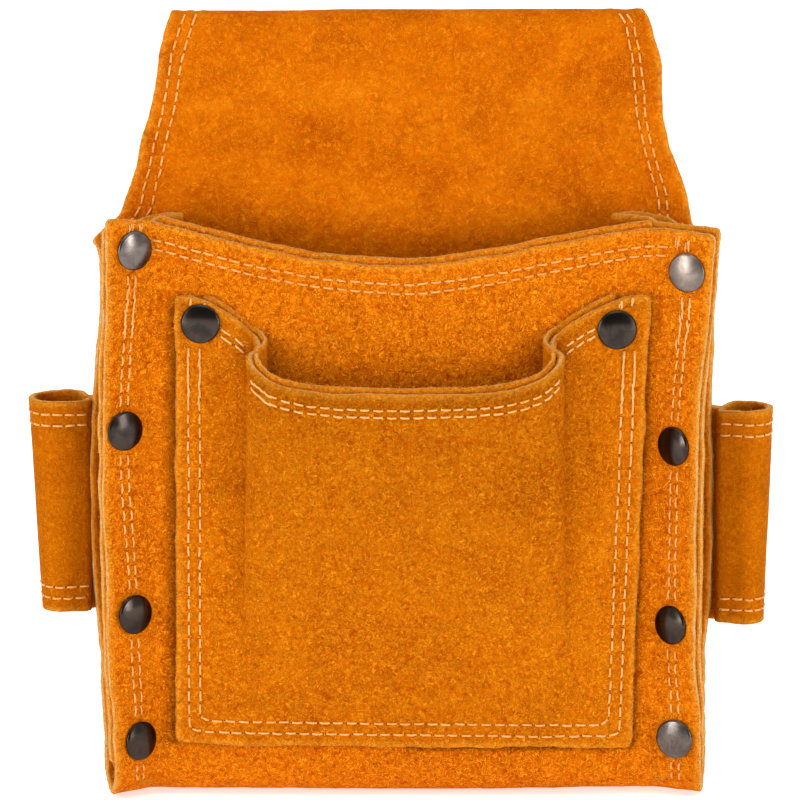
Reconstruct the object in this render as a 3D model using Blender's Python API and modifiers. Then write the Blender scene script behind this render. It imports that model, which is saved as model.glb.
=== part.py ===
"""Suede tool pouch: a belt tunnel, a bellows main pocket, a pleated front pocket and two tool loops.

The body is one strip of leather, folded under at the bottom and folded back over the belt at the top. It
flexes at the bottom fold, so its front wall and its back panel are separate objects that meet there.
Lengths are in metres. X is the width, -Y the front, +Z up. Everything hangs from the empty "pouch", which
puts the middle of the belt tunnel at the world's origin; below, heights start at the bottom fold, and
depths at the back panel's rear face.
"""

from math import atan2, cos, pi, radians, sin, tan

import bmesh
import bpy
from mathutils import Matrix, Vector

MM = 0.001
LEFT, RIGHT = -1, 1
SIDE_NAMES = {LEFT: "left", RIGHT: "right"}

# Leather
PLY = 2.4 * MM
GAP = 0.3 * MM  # between plies that lie on each other
NEXT_PLY = PLY + GAP

# Body wrap: bottom fold, back panel, hanger and belt tunnel
BODY_DEPTH = 24 * MM
FOLD_Y = -BODY_DEPTH / 2
FOLD_Z = BODY_DEPTH / 2
FOLD_FEET = 1.2 * MM  # how much lower the fold is under the side seams
# The two halves of the fold lap on one centre, so that the front wall can turn on it. Radii of the middle
# of the ply by the angle from the front: 90 is straight down, 180 is at the back.
FRONT_FOLD = ((0, 10.8 * MM), (25, 10.8 * MM), (50, 10.8 * MM), (75, 10.8 * MM), (95, 7.6 * MM), (117, 7.6 * MM),
              (140, 7.6 * MM))
SEAM_FOLD_SHARE = 0.2  # how far the side seams follow the lap
BACK_FOLD = ((116, 10.8 * MM), (135, 10.8 * MM), (157, 10.8 * MM))
BACK_CREASE = 84 * MM  # half width of the back panel's flat part
BACK_FLARE = radians(38)
SHOULDER_Z, HANGER_Z = 176 * MM, 190 * MM
TOP_Z = 249.6 * MM
TUNNEL_INSIDE = 7 * MM
TUNNEL_BOTTOM_Z = 168 * MM
FLAP_SEWN_Z = 147 * MM
FLAP_STEP = ((126 * MM, 0), (142 * MM, -0.7 * MM))  # the back panel gives way under the sewn end of the flap
FLAP_HALF_WIDTH = 74 * MM
BACK_HALF_WIDTHS = (
    (0 * MM, 96.2 * MM),
    (20 * MM, 96.4 * MM),
    (60 * MM, 98.6 * MM),
    (95 * MM, 99.6 * MM),
    (120 * MM, 99.2 * MM),
    (150 * MM, 97.6 * MM),
    (SHOULDER_Z, 97 * MM),
    (HANGER_Z, 88.8 * MM),
    (203 * MM, 84.5 * MM),
    (218 * MM, 80.8 * MM),
    (235 * MM, 77.8 * MM),
    (TOP_Z, 74.5 * MM),
)

# Front wall: its outer face in plan, half of it, up to the crease where the side seam begins
FRONT_FACE = (
    (0 * MM, -24 * MM),
    (25 * MM, -24 * MM),
    (50 * MM, -23.6 * MM),
    (66 * MM, -22.2 * MM),
    (79.8 * MM, -20.9 * MM),
)
SEAM_WIDTHS = {
    LEFT: ((FOLD_Z, 15.5 * MM), (60 * MM, 17 * MM), (119 * MM, 17.6 * MM), (160 * MM, 16.5 * MM)),
    RIGHT: ((FOLD_Z, 15 * MM), (114 * MM, 16 * MM), (142 * MM, 17 * MM), (170 * MM, 19 * MM), (188 * MM, 20.5 * MM)),
}
# How far the side seams turn towards the front, in degrees at each rivet from the lowest, and the heights
# between which each stays the same
SEAM_FLARES = {LEFT: (43, 37, 31, 34), RIGHT: (27, 42, 42, 27)}
SEAM_STEPS = ((FOLD_Z, 24 * MM), (44 * MM, 66 * MM), (103 * MM, 126 * MM), (160 * MM, 188 * MM))
FRONT_TOP = {  # height of the front wall's upper edge by half width
    LEFT: ((0, 171.2 * MM), (25 * MM, 173 * MM), (45 * MM, 176.5 * MM), (65 * MM, 181.5 * MM),
           (80 * MM, 185.2 * MM), (93 * MM, 187.5 * MM)),
    RIGHT: ((0, 171.2 * MM), (25 * MM, 174 * MM), (45 * MM, 177.8 * MM), (65 * MM, 181.5 * MM),
            (80 * MM, 183.2 * MM), (93 * MM, 182.5 * MM)),
}
WALL_HEIGHTS = (FOLD_Z, 24 * MM, 44 * MM, 66 * MM, 103 * MM, 126 * MM, 142 * MM, 160 * MM, 188 * MM)
BAND_WIDTH = 15 * MM
BAND_HALF_LENGTH = 74 * MM
FRONT_BAND_RISE = 1.6 * MM

# Gussets
GUSSET_BOTTOM = 16 * MM
GUSSET_FOLD_X = {
    LEFT: ((GUSSET_BOTTOM, 75 * MM), (186 * MM, 71 * MM)),
    RIGHT: ((GUSSET_BOTTOM, 75 * MM), (186 * MM, 66 * MM)),
}

# Front pocket: outer edges as (height, half width), then its upper edge by half width
POCKET_EDGES = {
    LEFT: ((14 * MM, 72.6 * MM), (164 * MM, 72.4 * MM)),
    RIGHT: ((14 * MM, 71.9 * MM), (164 * MM, 77.4 * MM)),
}
POCKET_GAP = 0.5 * MM
POCKET_BOTTOM = {LEFT: 16.8 * MM, RIGHT: 15.2 * MM}
POCKET_CENTRE_TOP = 133 * MM
POCKET_TOP = (  # height of the upper edge by place across the pocket
    (0, POCKET_CENTRE_TOP),
    (0.5, 134.2 * MM),
    (1, 138.5 * MM),
    (1.8, 145 * MM),
    (2, 149.5 * MM),
    (2.33, 156.6 * MM),
    (2.66, 160.8 * MM),
    (3, 162.2 * MM),
)
POCKET_PLEAT_BOTTOM = 26 * MM
POCKET_DEPTH = 15 * MM
POCKET_FACE_HALF = 50 * MM
POCKET_NECK_HALF = 44 * MM
POCKET_BAND_HALF = 44 * MM
POCKET_BAND_RISE = 2 * MM

# Tool loops: a teardrop in plan, whose two tails lie together behind the back seam. The strip flexes at the
# seam's edge, so the loop and its tails are separate objects that meet there.
LOOP_HEIGHTS = {LEFT: (58 * MM, 126 * MM), RIGHT: (54 * MM, 121 * MM)}
LOOP_HINGE = (101.2 * MM, -9.2 * MM)
LOOP_X, LOOP_Y = 109.6 * MM, -8 * MM
LOOP_REACH_TOP, LOOP_REACH_BOTTOM = 9.4 * MM, 6.8 * MM
LOOP_HALF_DEPTH = 8 * MM
LOOP_START = 1.2 * MM  # from the hinge
TAILS_WIDTH, TAILS_END = 13 * MM, 17.4 * MM

# Cap rivets
CAP_RADIUS, CAP_RIM, CAP_DOME = 6.35 * MM, 0.9 * MM, 1.2 * MM
TUBE_RADIUS, TUBE_BORE = 2.0 * MM, 1.4 * MM
POST_RADIUS, POST_BASE_RADIUS, POST_BASE = 1.0 * MM, 5.2 * MM, 1.0 * MM
HOLE_RADIUS = TUBE_RADIUS + GAP
GRIP = PLY + NEXT_PLY
SEAM_RIVETS_AT = {  # from the crease, along the seam
    LEFT: (7.7 * MM, 11.2 * MM, 8.4 * MM, 7 * MM),
    RIGHT: (11.1 * MM, 8.2 * MM, 7.3 * MM, 7.5 * MM),
}
SEAM_RIVET_HEIGHTS = {
    LEFT: (177.2 * MM, 119 * MM, 59 * MM, 17.5 * MM),
    RIGHT: (170.2 * MM, 114 * MM, 55.5 * MM, 17.8 * MM),
}
POCKET_RIVETS = {LEFT: (64.9 * MM, 153.8 * MM), RIGHT: (67.3 * MM, 151.8 * MM)}

# Sewing thread, in double rows that join at their ends
THREAD = 0.4 * MM  # radius
THREAD_LIFT = GAP + THREAD
SEAM_ROWS = (-1.2 * MM, 1.2 * MM)  # either side of the line from rivet to rivet
RIM_ROWS = (6.6 * MM, 10.2 * MM)  # below the upper edge
POCKET_ROWS = (3.6 * MM, 7.2 * MM)  # from the pocket's edge
HANGER_ROWS = (3.2 * MM, 6.8 * MM)  # from the hanger's edge
FLAP_ROWS = (4 * MM, 7.5 * MM)  # above the flap's lower edge
BACK_ROWS = (5 * MM, 8.5 * MM)  # from the back crease, along the seam
HEM_ROWS = (4 * MM, 7.6 * MM)  # from a tool loop's upper or lower edge

# World place of the pouch: the middle of the belt tunnel is the origin
TUNNEL_MIDDLE = (0, TUNNEL_INSIDE / 2, (TUNNEL_BOTTOM_Z + TOP_Z - PLY) / 2)


def clear_scene():
    for obj in list(bpy.data.objects):
        bpy.data.objects.remove(obj)


def material(name, colour, roughness, metallic=0.0):
    made = bpy.data.materials.new(name)
    made.use_nodes = True
    shader = made.node_tree.nodes["Principled BSDF"]
    shader.inputs["Base Color"].default_value = (*colour, 1)
    shader.inputs["Roughness"].default_value = roughness
    shader.inputs["Metallic"].default_value = metallic
    return made


def read(table, at):
    """The value at a place in a table of (place, value) pairs, straight between them and flat past its ends."""
    if at <= table[0][0]:
        return table[0][1]
    for (a, low), (b, high) in zip(table, table[1:]):
        if at <= b:
            return low + (high - low) * (at - a) / (b - a)
    return table[-1][1]


def shifted(path, distance):
    """A path in plan moved sideways by a distance, to the left of its direction, with mitred corners."""
    directions = [Vector(b) - Vector(a) for a, b in zip(path, path[1:])]
    normals = [Vector((-d.y, d.x)).normalized() for d in directions]
    joined = [normals[0], *(a + b for a, b in zip(normals, normals[1:])), normals[-1]]
    firsts = [normals[0], *normals]
    return [
        tuple(Vector(p) + n * (distance / n.dot(first)))
        for p, n, first in zip(path, joined, firsts)
    ]


def seam_flare(side, z):
    """How far a side seam turns towards the front at one height."""
    table = [(height, flare) for flare, step in zip(SEAM_FLARES[side], SEAM_STEPS) for height in step]
    return radians(read(table, z))


def front_section(side, z):
    """Half of the front wall's outer face in plan at one height, from the middle to its outer edge, for X above 0."""
    flare = seam_flare(side, z)
    x, y = FRONT_FACE[-1]
    width = read(SEAM_WIDTHS[side], z)
    middle = (x + width / 2 * cos(flare), y - width / 2 * sin(flare))
    edge = (x + width * cos(flare), y - width * sin(flare))
    return [*FRONT_FACE, middle, edge]


def back_depth(x, z):
    """Depth of the back panel's rear face: its sides turn forward below the shoulders."""
    share = read(((SHOULDER_Z, 1), (HANGER_Z, 0)), z)
    return read(FLAP_STEP, z) - max(0, x - BACK_CREASE) * tan(BACK_FLARE) * share


def back_section(z):
    """Half of the back panel's rear face in plan at one height."""
    half = read(BACK_HALF_WIDTHS, z)
    crease = min(BACK_CREASE, half * 0.9)
    return [(x, back_depth(x, z)) for x in (0, crease / 2, crease, (crease + half) / 2, half)]


def whole(left, right):
    """A full section from two halves that both run outwards from the middle."""
    return [(-x, y) for x, y in reversed(left)] + list(right[1:])


def ply_behind(path, distance):
    """A half section of the front wall's outer face, moved back into the pouch."""
    return shifted(path, distance)


def ply_before(path, distance):
    """A half section of the back panel's rear face, moved forward into the pouch."""
    return shifted(path, -distance)


class Builder:
    """Makes the pouch's objects, under one empty, in one collection for parts and one for cutters.

    Places are given in the pouch's own coordinates. What moves has its parent empty on its joint's axis.
    """

    def __init__(self):
        self.parts = bpy.data.collections.new("tool_pouch")
        self.cutters = bpy.data.collections.new("cutters")
        for made in (self.parts, self.cutters):
            bpy.context.scene.collection.children.link(made)
        self.pouch = bpy.data.objects.new("pouch", None)
        self.parts.objects.link(self.pouch)
        self.pouch.location = -Vector(TUNNEL_MIDDLE)
        self.carrier = self.pouch
        self.leather = material("suede", (0.72, 0.2, 0.012), 0.9)
        self.cotton = material("thread", (0.87, 0.78, 0.52), 0.8)
        self.steel = material("black_nickel", (0.06, 0.05, 0.048), 0.3, 1.0)

    def joint(self, name, place):
        """An empty on a joint's axis, which carries what is added next."""
        self.carrier = bpy.data.objects.new(name, None)
        self.parts.objects.link(self.carrier)
        self.carrier.parent = self.pouch
        self.carrier.location = place

    def carry(self, obj):
        """Hang an object on the present carrier without moving it from its place in the pouch."""
        obj.parent = self.carrier
        if self.carrier is not self.pouch:
            obj.matrix_parent_inverse = Matrix.Translation(-self.carrier.location)

    def add(self, name, data, surface):
        obj = bpy.data.objects.new(name, data)
        self.parts.objects.link(obj)
        self.carry(obj)
        data.materials.append(surface)
        return obj

    def sheet(self, name, rows, through=PLY):
        """A ply of leather whose middle surface runs through rows of points, all rows equally long."""
        count = len(rows[0])
        shape = bmesh.new()
        bmesh.ops.create_grid(shape, x_segments=count - 1, y_segments=len(rows) - 1, size=0.5)
        for corner in shape.verts:
            column = round((corner.co.x + 0.5) * (count - 1))
            row = round((corner.co.y + 0.5) * (len(rows) - 1))
            corner.co = rows[row][column]
        mesh = bpy.data.meshes.new(name)
        shape.to_mesh(mesh)
        shape.free()
        obj = self.add(name, mesh, self.leather)
        thickness = obj.modifiers.new("ply", "SOLIDIFY")
        thickness.thickness = through
        thickness.offset = 0
        thickness.use_even_offset = True
        thickness.thickness_clamp = 0
        return obj

    def turned(self, name, profile, steps):
        """A solid turned round Z from a profile that runs from the axis, down the outside, back to the axis."""
        mesh = bpy.data.meshes.new(name)
        mesh.from_pydata([(x, 0, z) for x, z in profile], [(i, i + 1) for i in range(len(profile) - 1)], [])
        obj = self.add(name, mesh, self.steel)
        screw = obj.modifiers.new("turn", "SCREW")
        screw.steps = screw.render_steps = steps
        screw.use_merge_vertices = True
        screw.merge_threshold = 0.00001
        return obj

    def thread(self, name, points):
        """A closed run of thread through the given points."""
        curve = bpy.data.curves.new(name, "CURVE")
        curve.dimensions = "3D"
        curve.bevel_depth = THREAD
        curve.bevel_resolution = 0
        run = curve.splines.new("POLY")
        run.points.add(len(points) - 1)
        for corner, point in zip(run.points, points):
            corner.co = (*point, 1)
        run.use_cyclic_u = True
        self.add(name, curve, self.cotton)

    def hole(self, place, through):
        """A cutter for a rivet hole that goes through the given plies."""
        bpy.ops.mesh.primitive_cylinder_add(vertices=10, radius=HOLE_RADIUS, depth=4 * GRIP)
        cutter = bpy.context.object
        for collection in list(cutter.users_collection):
            collection.objects.unlink(cutter)
        self.cutters.objects.link(cutter)
        cutter.name = "rivet_hole"
        self.carry(cutter)
        cutter.matrix_local = cutter.matrix_parent_inverse @ place
        cutter.hide_render = True
        cutter.display_type = "WIRE"
        for ply in through:
            cut = ply.modifiers.new("rivet hole", "BOOLEAN")
            cut.operation = "DIFFERENCE"
            cut.object = cutter

    def rivet(self, name, face, outwards, through):
        """A cap with its tube, and the post pressed into it from the far side, through the given plies."""
        z_axis = Vector(outwards).normalized()
        x_axis = Vector((0, 0, 1)).cross(z_axis).normalized()
        turn = Matrix((x_axis, z_axis.cross(x_axis), z_axis)).transposed().to_4x4()
        place = Matrix.Translation(Vector(face)) @ turn
        for piece, profile, steps in (("cap", cap_profile(), 14), ("post", post_profile(), 10)):
            turned = self.turned(f"{name}_{piece}", profile, steps)
            turned.matrix_local = turned.matrix_parent_inverse @ place
        self.hole(place, through)


def cap_profile():
    """Domed cap over a tube, from the dome's top down its outside and up the bore."""
    under = GAP
    dome = [
        (CAP_RADIUS * sin(a), under + CAP_RIM + CAP_DOME * cos(a))
        for a in (0, radians(30), radians(55), radians(75))
    ]
    tube_end = -GRIP + 0.5 * MM
    return [
        *dome,
        (CAP_RADIUS, under + CAP_RIM / 2),
        (CAP_RADIUS - 0.4 * MM, under),
        (TUBE_RADIUS, under),
        (TUBE_RADIUS, tube_end),
        (TUBE_BORE, tube_end),
        (TUBE_BORE, under),
        (0, under),
    ]


def post_profile():
    """Pin on a flat base, from the pin's tip down to the base's underside."""
    tip, base = -1.2 * MM, -GRIP - GAP
    return [
        (0, tip),
        (POST_RADIUS, tip),
        (POST_RADIUS, base),
        (POST_BASE_RADIUS - 0.3 * MM, base),
        (POST_BASE_RADIUS, base - 0.3 * MM),
        (POST_BASE_RADIUS - 0.3 * MM, base - POST_BASE),
        (0, base - POST_BASE),
    ]


def fold_rows(section, rear, table, seam_from, seam_rests):
    """Rows of the bottom fold, for its (angle, radius) pairs, from a front section and the back panel's depths.

    Beyond seam_from, where the side seams press it flat, the part past straight down stays near seam_rests.
    """
    rows = []
    for angle, radius in table:
        row = []
        for (x, front_y), (_, rear_y) in zip(section, rear):
            turn = radians(angle)
            if abs(x) > seam_from and angle > 90:
                turn = radians(seam_rests + (angle - seam_rests) * SEAM_FOLD_SHARE)
            reach = abs((rear_y if angle > 90 else front_y) - FOLD_Y) * radius / FRONT_FOLD[0][1]
            foot = FOLD_FEET if abs(x) > FRONT_FACE[-1][0] + PLY and angle < 90 else 0
            row.append((x, FOLD_Y - reach * cos(turn), FOLD_Z - (radius + foot) * sin(turn)))
        rows.append(row)
    return rows


def wall_section(z):
    """The front wall's middle surface in plan at one height."""
    return whole(*(ply_behind(front_section(side, z), PLY / 2) for side in (LEFT, RIGHT)))


def make_front_panel(builder):
    """The front wall, from its upper edge down and round its share of the bottom fold."""
    section = wall_section(FOLD_Z)
    rear = [(x, back_depth(abs(x), 0) - PLY / 2) for x, _ in section]
    rows = fold_rows(section, rear, FRONT_FOLD, FRONT_FACE[-2][0] + PLY, 90)[::-1]
    for height in WALL_HEIGHTS[1:]:
        row = []
        for x, y in wall_section(height):
            top = read(FRONT_TOP[LEFT if x < 0 else RIGHT], abs(x))
            row.append((x, y, top if height == WALL_HEIGHTS[-1] else height))
        rows.append(row)
    return builder.sheet("front_panel", rows)


def make_front_band(builder):
    """The second ply inside the front wall's upper edge."""
    rows = []
    for share in (0, 0.5, 1):
        row = []
        for side, xs in ((LEFT, (-1, -0.8, -0.6, -0.4, -0.2, 0)), (RIGHT, (0.2, 0.4, 0.6, 0.8, 1))):
            path = ply_behind(list(FRONT_FACE), NEXT_PLY + PLY / 2)
            for part in xs:
                x = part * BAND_HALF_LENGTH
                top = read(FRONT_TOP[side], abs(x)) + FRONT_BAND_RISE
                row.append((x, read(path, abs(x)), top - BAND_WIDTH * (1 - share)))
        rows.append(row)
    return builder.sheet("front_panel_band", rows)


def make_back_panel(builder):
    """The back panel, the hanger above it, the fold over the belt and the flap sewn down behind."""
    half = ply_before(back_section(FOLD_Z), PLY / 2)
    section = whole(half, half)
    rows = fold_rows(section, section, BACK_FOLD, BACK_CREASE, 180)
    for z in (12, 60, 126, 142, 160, 176, 183, 190, 203, 218, 235):
        half = ply_before(back_section(z * MM), PLY / 2)
        rows.append([(x, y, z * MM) for x, y in whole(half, half)])
    shares = [p[0] / read(BACK_HALF_WIDTHS, 235 * MM) for p in rows[-1]]
    radius = (TUNNEL_INSIDE + PLY) / 2
    turn_z = TOP_Z - PLY / 2 - radius
    front_y = FLAP_STEP[-1][1] - PLY / 2
    sewn_y = FLAP_STEP[-1][1] + GAP + PLY / 2
    over = [(front_y, turn_z)]
    over += [(front_y + radius - radius * cos(a), turn_z + radius * sin(a)) for a in (pi * k / 6 for k in range(1, 6))]
    flap_y = front_y + 2 * radius
    flap_from = len(over) - 3
    over += [(flap_y, turn_z), (flap_y, 205 * MM), (flap_y, TUNNEL_BOTTOM_Z + 6 * MM)]
    over += [(flap_y - 2.4 * MM, TUNNEL_BOTTOM_Z + 2 * MM), (sewn_y + 1.4 * MM, TUNNEL_BOTTOM_Z - 1.5 * MM)]
    over += [(sewn_y, TUNNEL_BOTTOM_Z - 5 * MM), (sewn_y, FLAP_SEWN_Z)]
    for step, (y, z) in enumerate(over):
        half = read(BACK_HALF_WIDTHS, z) if step < flap_from else FLAP_HALF_WIDTH
        rows.append([(share * half, y, z) for share in shares])
    return builder.sheet("back_panel", rows)


def gusset_path(side, z):
    """One gusset in plan: along the back panel, in to its fold, and out along the front wall."""
    back = ply_before(back_section(z), NEXT_PLY + PLY / 2)[2:]
    front = ply_behind(front_section(side, z), NEXT_PLY + PLY / 2)[4:]
    fold_x = read(GUSSET_FOLD_X[side], z)
    fold_y = (back[0][1] + front[0][1]) / 2
    near_back = (fold_x + 0.4 * (back[0][0] - fold_x), back[0][1] - 1.2 * MM)
    near_front = (fold_x + 0.8 * (front[0][0] - fold_x), front[0][1] + 2.6 * MM)
    return [*reversed(back), near_back, (fold_x, fold_y), near_front, *front]


def make_gusset(builder, side):
    tops = (177, 181.5, 183.5, 185.3, 185.8, 185.5, 184.5, 184.3, 184.3)
    rows = []
    for height in (GUSSET_BOTTOM, *WALL_HEIGHTS[1:]):
        row = []
        for (x, y), top in zip(gusset_path(side, min(height, SHOULDER_Z)), tops):
            row.append((side * x, y, top * MM if height == WALL_HEIGHTS[-1] else height))
        rows.append(row)
    return builder.sheet(f"{SIDE_NAMES[side]}_gusset", rows)


def pocket_depth(z):
    """How far the front pocket's face stands off the front wall at one height, as a share of its full depth."""
    return max(0, min(1, (z - POCKET_PLEAT_BOTTOM) / (POCKET_CENTRE_TOP - POCKET_PLEAT_BOTTOM)))


def pocket_point(side, place, z):
    """A point of the pocket's middle surface. place is the face's middle to edge from 0 to 1, wall to 2, flange to 3."""
    share = pocket_depth(z)
    seat = shifted(list(FRONT_FACE), -POCKET_GAP - PLY / 2)
    edge_x = POCKET_FACE_HALF - 3 * MM * (1 - share)
    neck_x = POCKET_NECK_HALF + 8 * MM * (1 - share)
    if place <= 1:
        x = edge_x * place
        y = read(seat, x) - POCKET_DEPTH * share
    elif place < 2:
        x = edge_x + (neck_x - edge_x) * (place - 1) / 0.8
        y = read(seat, x) - POCKET_DEPTH * share * (1 - (place - 1) / 0.8 * 0.84)
        x = min(x, neck_x) if share < 0.3 else x
    else:
        neck_x += 1.8 * MM
        x = neck_x + (read(POCKET_EDGES[side], z) - neck_x) * (place - 2)
        y = read(seat, x)
    return side * x, y


def make_front_pocket(builder):
    """The front pocket: a face, a pleated wall each side and flanges sewn to the front wall."""
    places = (3, 2.66, 2.33, 2, 1.8, 1, 0.75, 0.4, 0)
    rows = []
    for share in (0, 0.04, 0.09, 0.25, 0.45, 0.65, 0.82, 0.92, 1):
        row = []
        for side, ordered in ((LEFT, places), (RIGHT, places[-2::-1])):
            for place in ordered:
                low = read(((0, (POCKET_BOTTOM[LEFT] + POCKET_BOTTOM[RIGHT]) / 2), (3, POCKET_BOTTOM[side])), place)
                z = low + share * (read(POCKET_TOP, place) - low)
                row.append((*pocket_point(side, place, z), z))
        rows.append(row)
    return builder.sheet("front_pocket", rows)


def make_pocket_band(builder):
    """The second ply inside the front pocket's upper edge, across its face."""
    rows = []
    for share in (0, 0.5, 1):
        row = []
        for step in range(-4, 5):
            x = POCKET_BAND_HALF * step / 4
            z = read(POCKET_TOP, abs(x) / POCKET_FACE_HALF) + POCKET_BAND_RISE - 12 * MM * (1 - share)
            lean = POCKET_DEPTH * pocket_depth(z)
            seat = shifted(list(FRONT_FACE), -POCKET_GAP - PLY / 2)
            row.append((x, read(seat, abs(x)) - lean + NEXT_PLY + 0.15 * MM, z))
        rows.append(row)
    return builder.sheet("front_pocket_band", rows)


def loop_path(height_share):
    """A tool loop in plan, from one tail at the hinge round to the other, for X above 0."""
    reach = LOOP_REACH_BOTTOM + (LOOP_REACH_TOP - LOOP_REACH_BOTTOM) * height_share
    x, y = LOOP_HINGE
    path = [(x + LOOP_START, y - NEXT_PLY / 2), (x + LOOP_START + 1.2 * MM, y - NEXT_PLY / 2 - 0.6 * MM)]
    for step in range(9):
        a = radians(-128 + 256 * step / 8)
        path.append((LOOP_X + reach * cos(a), LOOP_Y + LOOP_HALF_DEPTH * sin(a)))
    return [*path, (x + LOOP_START + 1.2 * MM, y + NEXT_PLY / 2 + 0.6 * MM), (x + LOOP_START, y + NEXT_PLY / 2)]


def make_loop(builder, side):
    """A strip bent into a teardrop, both tails ending at the back seam."""
    bottom, top = LOOP_HEIGHTS[side]
    rows = [[(side * x, y, bottom + share * (top - bottom)) for x, y in loop_path(share)] for share in (0, 0.5, 1)]
    return builder.sheet(f"{SIDE_NAMES[side]}_tool_loop", rows)


def back_seam_point(side, along, z, lift):
    """A point over the back seam's rear face, a distance along it from the crease and a lift off it."""
    x = BACK_CREASE + along * cos(BACK_FLARE) + lift * sin(BACK_FLARE)
    return side * x, back_depth(BACK_CREASE, z) - along * sin(BACK_FLARE) + lift * cos(BACK_FLARE), z


def make_loop_tails(builder, side):
    """The loop's two tails, lying together on the back seam's rear face."""
    bottom, top = LOOP_HEIGHTS[side]
    places = (TAILS_END - TAILS_WIDTH, TAILS_END - TAILS_WIDTH / 2, TAILS_END)
    rows = [
        [back_seam_point(side, along, z, GAP + PLY) for along in places]
        for z in (bottom, (bottom + top) / 2, top)
    ]
    builder.sheet(f"{SIDE_NAMES[side]}_tool_loop_tails", rows, 2 * PLY)


def make_seam_rivets(builder, front_panel, gussets):
    """Four rivets down each front seam, through the front wall and the gusset's front flange."""
    for side in (LEFT, RIGHT):
        for number, z in enumerate(SEAM_RIVET_HEIGHTS[side], 1):
            flare = seam_flare(side, z)
            x, y = FRONT_FACE[-1]
            at = SEAM_RIVETS_AT[side][number - 1]
            face = (side * (x + at * cos(flare)), y - at * sin(flare), z)
            outwards = (-side * sin(flare), -cos(flare), 0)
            name = f"{SIDE_NAMES[side]}_seam_rivet_{number}"
            builder.rivet(name, face, outwards, (front_panel, gussets[side]))


def make_pocket_rivets(builder, front_pocket, front_panel):
    """One rivet at each upper corner of the front pocket."""
    for side in (LEFT, RIGHT):
        x, z = POCKET_RIVETS[side]
        (x0, y0), (x1, y1) = FRONT_FACE[-2:]
        slope = atan2(y1 - y0, x1 - x0)
        seat = shifted(list(FRONT_FACE), -POCKET_GAP - PLY)
        face = (side * x, read(seat, x), z)
        outwards = (side * sin(slope), -cos(slope), 0)
        builder.rivet(f"{SIDE_NAMES[side]}_pocket_rivet", face, outwards, (front_pocket, front_panel))


def rectangle(one_row, other_row):
    """A closed run of thread: down one row and back along the other."""
    return [*one_row, *reversed(other_row)]


def front_point(side, along, z, lift):
    """A point over the front seam's outer face, a distance along it from the crease and a lift off it."""
    flare = seam_flare(side, z)
    x, y = FRONT_FACE[-1]
    x += along * cos(flare) - lift * sin(flare)
    return side * x, y - along * sin(flare) - lift * cos(flare), z


def make_front_seam_threads(builder):
    """Double rows down each front seam, between its rivets."""
    reach = CAP_RADIUS + 1.6 * MM
    for side in (LEFT, RIGHT):
        heights = SEAM_RIVET_HEIGHTS[side]
        for number, (upper, lower) in enumerate(zip(heights, heights[1:]), 1):
            stops = [upper - reach, lower + reach]
            stops += [z for step in SEAM_STEPS for z in step if stops[1] < z < stops[0]]
            stops.sort()
            line = list(zip(reversed(heights), reversed(SEAM_RIVETS_AT[side])))
            rows = [[front_point(side, read(line, z) + row, z, THREAD_LIFT + GAP) for z in stops] for row in SEAM_ROWS]
            builder.thread(f"{SIDE_NAMES[side]}_front_seam_thread_{number}", rectangle(*rows))


def make_rim_thread(builder):
    """Double row under the front wall's upper edge."""
    face = shifted(list(FRONT_FACE), -THREAD_LIFT)
    rows = []
    for drop in RIM_ROWS:
        row = []
        for x in (-74, -65, -45, -25, 0, 25, 45, 65, 76):
            top = read(FRONT_TOP[LEFT if x < 0 else RIGHT], abs(x) * MM)
            row.append((x * MM, read(face, abs(x) * MM), top - drop))
        rows.append(row)
    builder.thread("front_rim_thread", rectangle(*rows))


def make_pocket_threads(builder):
    """Double rows under the front pocket's upper edge, and down its sides and along its bottom."""
    lift = PLY / 2 + THREAD_LIFT
    rows = []
    for drop in RIM_ROWS:
        row = []
        for step in range(-4, 5):
            place = 0.86 * step / 4
            side = LEFT if step < 0 else RIGHT
            z = read(POCKET_TOP, abs(place)) - drop
            x, y = pocket_point(side, abs(place), z)
            row.append((x, y - lift, z))
        rows.append(row)
    builder.thread("pocket_rim_thread", rectangle(*rows))
    rows = []
    for inset in POCKET_ROWS:
        row = []
        for side, heights in ((LEFT, (144, 100, 60)), (RIGHT, (60, 100, 142))):
            points = [(side * (read(POCKET_EDGES[side], z * MM) - inset), z * MM) for z in heights]
            low = POCKET_BOTTOM[side] + inset
            bends = (read(POCKET_EDGES[side], low) - inset, *(x for x, _ in FRONT_FACE[3:0:-1]))
            bottom = [(side * x, low) for x in bends]
            row += points + bottom if side == LEFT else [*reversed(bottom), *points]
        rows.append([(x, pocket_flange_depth(x) - lift, z) for x, z in row])
    builder.thread("pocket_seam_thread", rectangle(*rows))


def pocket_flange_depth(x):
    return read(shifted(list(FRONT_FACE), -POCKET_GAP - PLY / 2), abs(x))


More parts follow.
